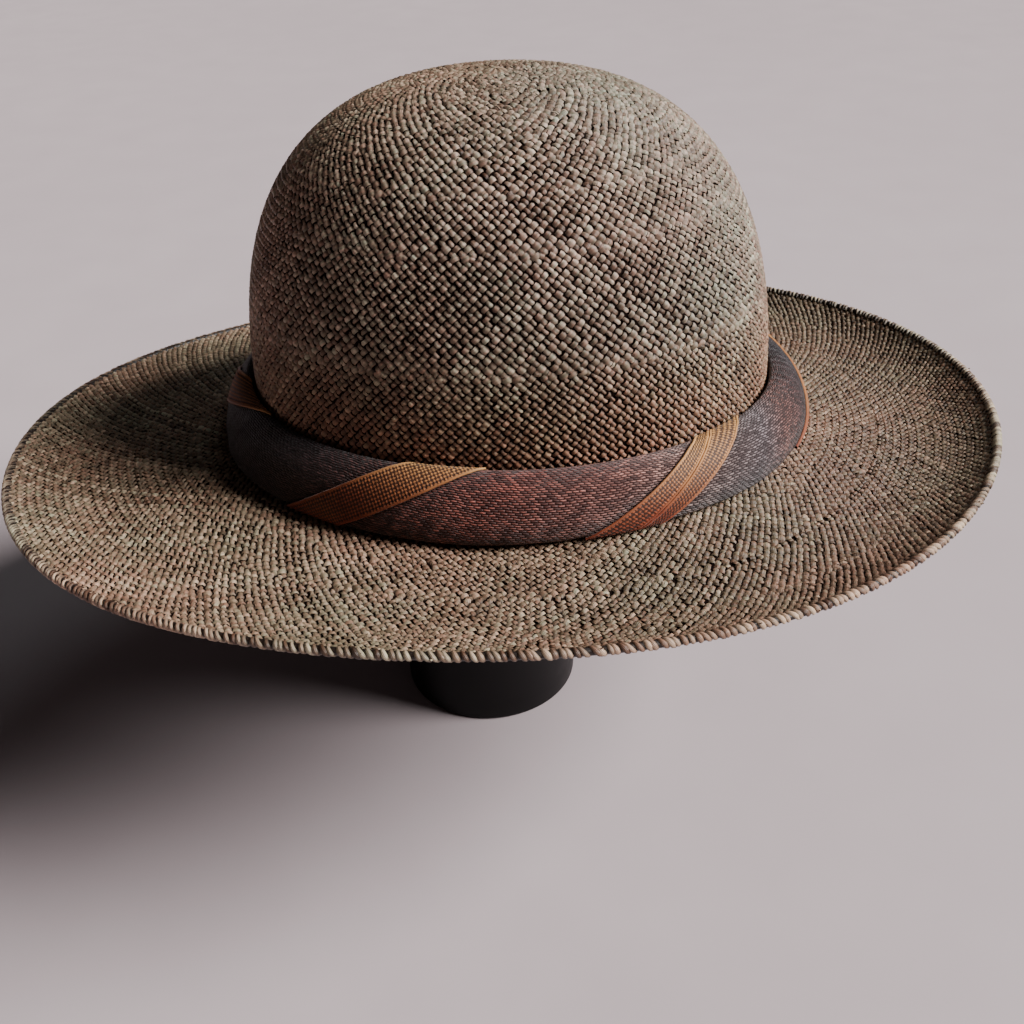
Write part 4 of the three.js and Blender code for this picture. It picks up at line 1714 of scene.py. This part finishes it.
@dataclass
class RibbonRoll:
    """The dark ribbon, twisted into a soft roll, with creases that run along the twist."""

    band: BandForm
    steps_round: int = 600
    steps_face: int = 42
    seam: float = 210.0
    foot_shade: float = 0.4
    foot_reach: float = 0.42
    strips: tuple[StripEdges, ...] = ()
    crease_depth: float = 0.0009
    crease_width: float = 1.5
    fold_depth: float = 0.0005
    fold_width: float = 4.5
    wrinkles: float = 46.0
    wrinkle_lean: float = 9.0
    wrinkle_depth: float = 0.00010
    fine_wrinkle_depth: float = 0.00007
    fine_wrinkle_pace: float = 2.3
    calm_foot: float = 6.0
    calm_head: float = 5.0
    corner_steps: int = 8
    mean_radius: float = 0.105
    tint_lean: float = 14.0
    folds: tuple[tuple[float, float], ...] = (
        (-84.0, -46.0), (-22.0, 10.0), (56.0, 74.0), (112.0, 150.0), (168.0, 204.0))
    # Partly the ribbon's own colours and partly painted light: darker on the left and near 88
    # degrees, where shade falls, and blue-grey near 50 degrees as a painted sheen
    ground: tuple[GroundColourAndLight, ...] = (
        GroundColourAndLight(-180.0, 0.20, 0.14, 0.14),
        GroundColourAndLight(-110.0, 0.16, 0.11, 0.11),
        GroundColourAndLight(-80.0, 0.11, 0.09, 0.11),
        GroundColourAndLight(-50.0, 0.13, 0.10, 0.11),
        GroundColourAndLight(-28.0, 0.19, 0.11, 0.10),
        GroundColourAndLight(-5.0, 0.28, 0.14, 0.12),
        GroundColourAndLight(14.0, 0.32, 0.20, 0.18),
        GroundColourAndLight(30.0, 0.30, 0.24, 0.225),
        GroundColourAndLight(50.0, 0.25, 0.22, 0.23),
        GroundColourAndLight(59.0, 0.25, 0.155, 0.14),
        GroundColourAndLight(72.0, 0.17, 0.11, 0.11),
        GroundColourAndLight(88.0, 0.095, 0.08, 0.10),
        GroundColourAndLight(130.0, 0.18, 0.13, 0.13),
        GroundColourAndLight(180.0, 0.20, 0.14, 0.14),
    )

    def face_lift(self, share: Array, angle: Array) -> Array:
        """How far creases and soft wrinkles move the face, in metres.

        Args:
            share: How far up the face each point lies.
            angle: The angle of each point round the hat.

        Returns:
            The height over the plain face, below 0 in a crease.
        """
        azimuth = np.degrees(angle) + 90.0
        lift = np.zeros(np.broadcast_shapes(share.shape, angle.shape))
        edges = [(strip.upper_foot, strip.upper_head, strip.bow) for strip in self.strips]
        edges += [(strip.lower_foot, strip.lower_head, strip.bow) for strip in self.strips]
        lines = [(*edge, self.crease_depth, self.crease_width) for edge in edges]
        lines += [(*fold, 0.0, self.fold_depth, self.fold_width) for fold in self.folds]
        for foot, head, bow, depth, width in lines:
            line = foot + (head - foot) * share + bow * np.sin(share * math.pi)
            off = (azimuth - line + 180.0) % 360.0 - 180.0
            lift = lift - depth * np.exp(-(off / width) ** 2)
        winding = self.wrinkles * angle - self.wrinkle_lean * share
        lift = lift + self.wrinkle_depth * np.sin(winding)
        lift = lift + self.fine_wrinkle_depth * np.sin(self.fine_wrinkle_pace * winding + 1.0)
        foot = smooth_step(share * self.calm_foot)
        return lift * foot * smooth_step((1.0 - share) * self.calm_head)

    def tint(self, angle: Array, share: Array) -> Array:
        """The ground's colour at each point, with painted shade towards the foot of the roll.

        Args:
            angle: The angle of each point round the hat.
            share: How far up the face each point lies.

        Returns:
            The linear colours.
        """
        azimuth = np.degrees(angle) + 90.0 + self.tint_lean * (0.5 - share)
        azimuth = (azimuth + 180.0) % 360.0 - 180.0
        places = [stop.azimuth for stop in self.ground]
        colours = np.array([linear(stop.red, stop.green, stop.blue) for stop in self.ground])
        shaded = self.foot_shade + (1.0 - self.foot_shade) * smooth_step(share / self.foot_reach)
        tint = np.stack([np.interp(azimuth, places, colours[:, k]) for k in range(4)], axis=-1)
        return tint * shaded[..., None]

    def build(self, material: bpy.types.Material) -> None:
        """Builds the roll: its face, and the inner corner that follows the turn.

        Args:
            material: The ribbon's finish.
        """
        form = self.band.form
        start = math.radians(self.seam - 90.0)
        angle = np.linspace(start, start + FULL_TURN, self.steps_round + 1)[:, None]
        rows = np.linspace(0.0, len(self.band.face) - 1.0, self.steps_face)[None, :]
        share = self.band.row_share(rows)
        face = self.band.point(rows, angle, self.face_lift(share, angle))
        bend = np.linspace(0.0, math.pi / 2.0, self.corner_steps)[None, :]
        reach = form.turn_radius - self.band.gap
        out = form.turn_radius - reach * np.cos(bend)
        up = form.turn_radius - reach * np.sin(bend)
        up = up + self.band.climb(up, angle)
        points = np.concatenate([face, form.beside(out, up, angle)], axis=1)
        across = points.shape[1]
        hop = np.linalg.norm(np.diff(points, axis=1), axis=2)
        climbed = np.concatenate([np.zeros((len(angle), 1)), np.cumsum(hop, axis=1)], axis=1)
        shape = (len(angle), across)
        place = np.stack([np.broadcast_to(angle * self.mean_radius, shape), climbed], axis=-1)
        whole = np.concatenate([share, np.ones((1, self.corner_steps))], axis=1)
        tint = self.tint(np.broadcast_to(angle, shape), np.broadcast_to(whole, shape))
        surface = Surface(
            points.reshape(-1, 3),
            grid_quads(1, len(angle), across, ring_across=True),
            place.reshape(-1, 2),
            {"tint": tint.reshape(-1, 4)},
        )
        middle = points.mean(axis=1, keepdims=True)
        surface = surface.turned_out((points - middle).reshape(-1, 3))
        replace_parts(surface.piece("band_ribbon", material, "ribbon"), "band_roll")


@dataclass
class CopperStrip:
    """One copper strip of interlaced threads that winds up over the roll."""

    band: BandForm
    edges: StripEdges
    first_row: float = 1.0
    last_row: float = 8.0
    pitch: float = 0.00122
    thickness: float = 0.0010
    swing: float = 0.00019
    lane: float = 0.37
    thread_drop: float = 0.00030
    thread_arch: float = 0.00022
    thread_jitter: float = 0.07
    pattern_shift: float = 3.0
    outward_step: float = 0.001
    tone: float = 0.30
    tone_spread: float = 0.14
    crest_middle: float = 0.32
    painted_shade_swing: float = 0.50
    edge_shade: float = 0.52
    bed_foot: float = 0.00008
    bed_drop: float = 0.00045
    bed_rounding: float = 6.0
    bed_steps: int = 48
    bed_lanes: int = 13
    bed_crest: float = 0.04
    cord_size: float = 0.00046
    paired_size: float = 1.4
    cord_gap: float = 0.00150
    cord_rise: float = 0.00055
    cord_steps: int = 90
    cord_height: float = 0.45
    cord_beads: float = 42.0
    bead_swing: float = 0.14
    cord_length: float = 0.06
    cord_clear: float = 0.003
    cord_tone: float = 0.2
    cord_sway: Sway = Sway(0.12, 0.01)
    route_steps: int = 141
    middle_steps: int = 60
    cord_crest: float = 0.42

    def spot(self, up: Array, over: Array, lift: Array) -> Array:
        """A point of the strip.

        Args:
            up: The share of the way from foot to head.
            over: The share of the way from the upper to the lower edge.
            lift: The height over the band's face.

        Returns:
            The point, in metres.
        """
        rows = np.linspace(self.first_row, self.last_row, self.route_steps)
        shares = self.band.row_share(rows)
        shares = (shares - shares[0]) / (shares[-1] - shares[0])
        row = np.interp(up, shares, rows)
        true_share = self.band.row_share(row)
        bow = self.edges.bow * np.sin(true_share * math.pi)
        upper = self.edges.upper_foot + (self.edges.upper_head - self.edges.upper_foot) * true_share
        lower = self.edges.lower_foot + (self.edges.lower_head - self.edges.lower_foot) * true_share
        azimuth = upper + (lower - upper) * over + bow
        return self.band.point(row, np.radians(azimuth - 90.0), lift)

    def gold(self, up: Array) -> Array:
        """How golden the strip is at a share of the way from foot to head."""
        return np.clip(up, 0.0, 1.0) ** self.edges.redness

    def spans(self) -> tuple[float, float, float]:
        """The strip's length, its width square to that, and the shear between the two.

        Returns:
            The length and the width, in metres, and the shear.
        """
        share = np.linspace(0.0, 1.0, self.middle_steps)
        flat = np.zeros_like(share)
        middle = self.spot(share, flat + 0.5, flat)
        length = float(np.sum(np.linalg.norm(np.diff(middle, axis=0), axis=1)))
        ahead = unit(np.gradient(middle, axis=0))
        across = self.spot(share, flat + 1.0, flat) - self.spot(share, flat, flat)
        leftover = across - ahead * np.sum(across * ahead, axis=1, keepdims=True)
        slant = float(np.mean(np.sum(across * ahead, axis=1)))
        return length, float(np.mean(np.linalg.norm(leftover, axis=1))), -slant / length

    def threads(self, rng: np.random.Generator, lengthwise: bool, along_count: int,
                across_count: int, shear: float) -> Surface:
        """One family of the strip's threads.

        Args:
            rng: The random source.
            lengthwise: True for the threads that run along the strip.
            along_count: Crossings along the strip.
            across_count: Crossings across it.
            shear: How far along the strip a thread square to it moves from edge to edge.

        Returns:
            The threads as one surface.
        """
        spare = int(math.ceil(abs(shear) * along_count / 2.0))
        parity = 1.0 if lengthwise else -1.0
        along_range = np.arange(-spare, along_count + spare)
        half_steps = np.arange(-spare - 0.5, along_count + spare - 0.25, 0.5)
        number = np.arange(across_count) if lengthwise else along_range
        step = half_steps if lengthwise else np.arange(-0.5, across_count - 0.25, 0.5)
        number, step = number[:, None, None], step[None, :, None]
        count = len(number)
        lanes = LANES[None, None, :]
        stray = self.thread_jitter * rng.normal(0.0, 1.0, (count, 1, 1))
        mine = number + 0.5 + self.lane * lanes + stray
        mine, theirs = np.broadcast_arrays(mine, step + 0.5)
        over = parity * np.cos(math.pi * (step + number))
        arch = self.thread_arch * lanes ** 2
        lift = self.thickness - self.thread_drop + self.swing * over - arch
        lift = np.broadcast_to(lift, mine.shape)
        up, across = (theirs, mine) if lengthwise else (mine, theirs)
        across = np.clip(across / across_count, 0.0, 1.0)
        up = np.clip(up / along_count + shear * (across - 0.5), 0.0, 1.0)
        points = self.spot(up, across, lift)
        outward = self.spot(up, across, lift + self.outward_step) - points
        tones = rng.normal(self.tone, self.tone_spread, (count, 1, 1))
        tone = np.broadcast_to(tones, mine.shape)
        # The crest is low at each thread's edges and where it dives under, and there the hollow
        # colour is painted as shade.
        crest = self.crest_middle + self.painted_shade_swing * over - self.edge_shade * lanes ** 2
        crest = np.broadcast_to(crest, mine.shape)
        along = step * self.pitch + rng.uniform(0.0, self.pattern_shift, (count, 1, 1))
        along = np.broadcast_to(along, mine.shape)
        place = np.stack([along, np.broadcast_to(lanes * 0.5 + 0.5, mine.shape)], axis=-1)
        surface = Surface(
            points.reshape(-1, 3),
            grid_quads(count, mine.shape[1], len(LANES)),
            place.reshape(-1, 2),
            {"tone": tone.ravel(), "crest": crest.ravel(), "up": self.gold(up).ravel()},
        )
        return surface.turned_out(outward.reshape(-1, 3))

    def bed(self) -> Surface:
        """The body of the strip under its threads, turned down at its edges; it is painted dark as
        the shade seen between the threads.

        Returns:
            The surface.
        """
        along, across = np.linspace(0.0, 1.0, self.bed_steps), np.linspace(0.0, 1.0, self.bed_lanes)
        up, over = np.meshgrid(along, across, indexing="ij")
        rounded = np.minimum(1.0, self.bed_rounding * np.minimum(over, 1.0 - over)) ** 0.5
        lift = self.bed_foot + (self.thickness - self.bed_drop) * rounded
        points = self.spot(up, over, lift)
        outward = self.spot(up, over, lift + self.outward_step) - points
        surface = Surface(
            points.reshape(-1, 3),
            grid_quads(1, self.bed_steps, self.bed_lanes),
            np.stack([up, over], axis=-1).reshape(-1, 2),
            {
                "tone": np.zeros(up.size),
                "crest": np.full(up.size, self.bed_crest),
                "up": self.gold(up).ravel(),
            },
        )
        return surface.turned_out(outward.reshape(-1, 3))

    def selvedges(self, rng: np.random.Generator) -> Surface:
        """The corded edges of the strip.

        Args:
            rng: The random source.

        Returns:
            Both edges as one surface.
        """
        share = np.linspace(0.0, 1.0, self.cord_steps)
        _, strip_width, _ = self.spans()
        lines, normals = [], []
        for cord in range(self.edges.cords):
            inward = cord * self.cord_gap / strip_width
            height = self.thickness * self.cord_height + cord * self.cord_rise
            for over in (inward, 1.0 - inward):
                flat = np.full_like(share, over)
                base = self.spot(share, flat, np.full_like(share, height))
                lines.append(base)
                clear = self.spot(share, flat, np.full_like(share, self.cord_clear))
                normals.append(unit(clear - base))
        shape = (len(lines), len(share))
        beads = 1.0 + self.bead_swing * np.cos(share * FULL_TURN * self.cord_beads)[None, :]
        size = self.cord_size * (1.0 if self.edges.cords == 1 else self.paired_size)
        width = np.full(shape, size) * beads
        tone = self.cord_tone + self.cord_sway.along(rng, len(lines), share * self.cord_length)
        strands = Strands()
        surface = strands.tubes(np.stack(lines), np.stack(normals), width, width,
                                tone, np.full(shape, self.cord_crest), ring=False)
        gold = self.gold(share)[None, :, None]
        surface.marks["up"] = np.broadcast_to(gold, (*shape, strands.sides)).ravel()
        return surface

    def build(self, material: bpy.types.Material, seed: int) -> None:
        """Builds the strip.

        Args:
            material: The strip's finish.
            seed: What the strip's random draws start from.
        """
        rng = np.random.default_rng(seed)
        length, width, shear = self.spans()
        along_count = max(int(round(length / self.pitch)), 4)
        across_count = max(int(round(width / self.pitch)), 2)
        parts = [
            self.threads(rng, way, along_count, across_count, shear) for way in (True, False)
        ]
        parts += [self.bed(), self.selvedges(rng)]
        piece = Surface.joined(parts).piece(
            self.edges.node.replace("band_", "copper_"), material, "copper_strip")
        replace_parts(piece, self.edges.node)


@dataclass
class Band:
    """The whole band: the dark roll and the strips wound over it."""

    form: HatForm
    first_seed: int = 100
    strips: tuple[StripEdges, ...] = (
        StripEdges("band_strip_1", -122.0, -80.0, -106.0, -60.0, redness=5.0),
        StripEdges("band_strip_2", -48.0, -20.0, -36.0, -6.0, redness=3.5),
        StripEdges("band_strip_3", 8.0, 38.0, 17.2, 41.2),
        StripEdges("band_strip_4", 18.2, 42.0, 21.4, 51.0),
        StripEdges("band_strip_5", 52.0, 138.0, 65.0, 151.0, 11.0, redness=0.6, cords=2),
        StripEdges("band_strip_6", 130.0, 166.0, 146.0, 182.0),
        StripEdges("band_strip_7", 184.0, 220.0, 200.0, 236.0),
    )

    def build(self, ribbon: bpy.types.Material, copper: bpy.types.Material) -> None:
        """Builds the roll and every strip.

        Args:
            ribbon: The roll's finish.
            copper: The strips' finish.
        """
        band = BandForm(self.form)
        RibbonRoll(band, strips=self.strips).build(ribbon)
        for number, edges in enumerate(self.strips):
            CopperStrip(band, edges).build(copper, self.first_seed + number)


# Stand


@dataclass
class Stand:
    """The plain turned stand: foot, upright and round top, in metres."""

    foot_radius: float = 0.0384
    neck_radius: float = 0.034
    top_height: float = 0.2631
    dome_radius: float = 0.055
    edge: float = 0.0015
    centre_radius: float = 0.0005
    foot_ring: float = 0.6
    corner_steps: int = 7
    upright_steps: int = 40
    dome_steps: int = 16
    steps_round: int = 112

    def profile(self) -> list[tuple[float, float]]:
        """The turned section, from the middle of the foot to the middle of the top.

        Returns:
            The radius and the height of each point.
        """
        bend = np.linspace(-math.pi / 2.0, 0.0, self.corner_steps)
        corner = [
            (self.foot_radius - self.edge + self.edge * math.cos(b),
             self.edge + self.edge * math.sin(b))
            for b in bend
        ]
        drop = self.dome_radius - math.sqrt(self.dome_radius ** 2 - self.neck_radius ** 2)
        upright = [
            (self.foot_radius + (self.neck_radius - self.foot_radius) * s,
             self.edge + (self.top_height - drop - self.edge) * s)
            for s in np.linspace(0.0, 1.0, self.upright_steps)[1:-1]
        ]
        radii = np.linspace(self.neck_radius, self.centre_radius, self.dome_steps)
        dome = [
            (float(r), self.top_height - self.dome_radius
             + math.sqrt(self.dome_radius ** 2 - float(r) ** 2))
            for r in radii
        ]
        foot = [(self.centre_radius, 0.0), (self.foot_radius * self.foot_ring, 0.0)]
        return [*foot, *corner, *upright, *dome]

    def build(self, material: bpy.types.Material) -> None:
        """Builds the stand.

        Args:
            material: The stand's finish.
        """
        profile = np.array(self.profile())
        angle = ring_angles(self.steps_round)[:, None]
        radius = np.broadcast_to(profile[:, 0], (self.steps_round, len(profile)))
        height = np.broadcast_to(profile[:, 1], radius.shape)
        points = np.stack([radius * np.cos(angle), radius * np.sin(angle), height], axis=-1)
        around = np.broadcast_to(angle * self.foot_radius, radius.shape)
        place = np.stack([around, height], axis=-1)
        surface = Surface(
            points.reshape(-1, 3),
            grid_quads(1, self.steps_round, len(profile), ring_along=True),
            place.reshape(-1, 2),
        )
        middle = np.array([0.0, 0.0, self.top_height / 2.0])
        surface = surface.turned_out(points.reshape(-1, 3) - middle)
        piece = surface.piece("stand_body", material, "stand_black")
        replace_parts(piece, "stand")


# Studio


class Source(Enum):
    """The two kinds of light: a near disc, and a broad far light that falls evenly."""

    DISC = "AREA"
    FAR = "SUN"


@dataclass(frozen=True)
class SoftLight:
    """A soft studio light. Its spread is a disc's width, or a far light's angle."""

    name: str
    source: Source
    place: tuple[float, float, float]
    aim: tuple[float, float, float]
    spread: float
    power: float
    colour: tuple[float, float, float]

    def build(self) -> None:
        """Adds the light."""
        light = bpy.data.lights.new(self.name, self.source.value)
        if self.source is Source.DISC:
            light.shape = "DISK"
            light.size = self.spread
        else:
            light.angle = math.radians(self.spread)
        light.energy = self.power
        light.color = self.colour
        made = bpy.data.objects.new(self.name, light)
        made.location = self.place
        heading = Vector(self.aim) - Vector(self.place)
        made.rotation_euler = heading.to_track_quat("-Z", "Y").to_euler()
        bpy.context.scene.collection.objects.link(made)


@dataclass
class Studio:
    """Floor, lights, surroundings and camera."""

    camera_place: tuple[float, float, float] = (0.01286, -0.39843, 0.35126)
    camera_aim: tuple[float, float, float] = (0.01286, 0.0, 0.08454)
    camera_roll: float = -2.775
    focal_pixels: float = 1113.46
    sensor: float = 36.0
    nearest: float = 0.01
    furthest: float = 50.0
    floor_size: float = 60.0
    surround: tuple[float, float, float] = (0.70, 0.61, 0.61)
    surround_strength: float = 0.050
    lights: tuple[SoftLight, ...] = (
        SoftLight("key", Source.FAR, (1.23, -0.18, 1.03), (0.0, 0.0, 0.18), 30.0, 7.9,
                  (1.0, 0.99, 0.975)),
        SoftLight("top", Source.DISC, (0.45, 0.60, 1.20), (0.0, 0.0, 0.20), 0.7, 1.75,
                  (0.84, 0.98, 1.0)),
        SoftLight("fill", Source.DISC, (0.9, -1.4, 0.7), (0.0, 0.0, 0.15), 1.2, 0.3,
                  (1.0, 0.84, 0.80)),
    )

    def camera(self) -> None:
        """Adds the camera at the picture's viewing angle."""
        data = bpy.data.cameras.new("camera")
        data.sensor_width = self.sensor
        data.lens = self.focal_pixels / PICTURE_WIDTH * self.sensor
        data.clip_start, data.clip_end = self.nearest, self.furthest
        place, aim = Vector(self.camera_place), Vector(self.camera_aim)
        ahead = (aim - place).normalized()
        right = ahead.cross(Vector((0.0, 0.0, 1.0))).normalized()
        up = right.cross(ahead)
        roll = math.radians(self.camera_roll)
        rolled_right = right * math.cos(roll) + up * math.sin(roll)
        rolled_up = up * math.cos(roll) - right * math.sin(roll)
        turned = Matrix((rolled_right, rolled_up, -ahead)).transposed().to_4x4()
        made = bpy.data.objects.new("camera", data)
        made.matrix_world = Matrix.Translation(place) @ turned
        bpy.context.scene.collection.objects.link(made)
        bpy.context.scene.camera = made

    def floor(self, material: bpy.types.Material) -> None:
        """Adds the plain pale floor.

        Args:
            material: The floor's finish.
        """
        half = self.floor_size / 2.0
        mesh = bpy.data.meshes.new("floor")
        corners = [(-half, -half, 0.0), (half, -half, 0.0), (half, half, 0.0), (-half, half, 0.0)]
        mesh.from_pydata(corners, [], [(0, 1, 2, 3)])
        mesh.materials.append(material)
        made = bpy.data.objects.new("floor", mesh)
        bpy.context.scene.collection.objects.link(made)

    def build(self, floor_material: bpy.types.Material) -> None:
        """Adds everything round the object.

        Args:
            floor_material: The floor's finish.
        """
        self.camera()
        self.floor(floor_material)
        for light in self.lights:
            light.build()
        world = bpy.data.worlds.new("studio")
        world.use_nodes = True
        background = world.node_tree.nodes["Background"]
        background.inputs["Color"].default_value = (*self.surround, 1.0)
        background.inputs["Strength"].default_value = self.surround_strength
        bpy.context.scene.world = world


def main() -> None:
    """Builds the hat, its band and its stand, and the studio round them."""
    logging.basicConfig(level=logging.INFO, format="%(message)s")
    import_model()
    shades = Shades()
    form = HatForm()
    straw = StrawFinish("straw", roughness=0.46, specular=0.5).made(shades)
    shade = StrawFinish("straw_shade", roughness=0.85, specular=0.05).made(shades)
    ribbon = RibbonFinish("ribbon", roughness=0.55, specular=0.35, sheen=0.12).made(shades)
    copper = CopperFinish("copper_strip", roughness=0.55, specular=0.35, sheen=0.15).made(shades)
    black = PlainFinish("stand_black", roughness=0.46, specular=0.22, scale=14.0,
                        colour=(0.022, 0.017, 0.019), wear_and_bounce=(0.07, 0.06, 0.064)).made(shades)
    pale = PlainFinish("floor_pale", roughness=0.8, specular=0.2, scale=2.0, grain=0.0001,
                       colour=(0.74, 0.68, 0.695), wear_and_bounce=(0.80, 0.745, 0.755)).made(shades)
    StrawWeave(form).build(straw, shade)
    CrownButton(form).build(straw)
    RimStitches(form).build(straw)
    Band(form).build(ribbon, copper)
    Stand().build(black)
    Studio().build(pale)


if __name__ == "__main__":
    main()
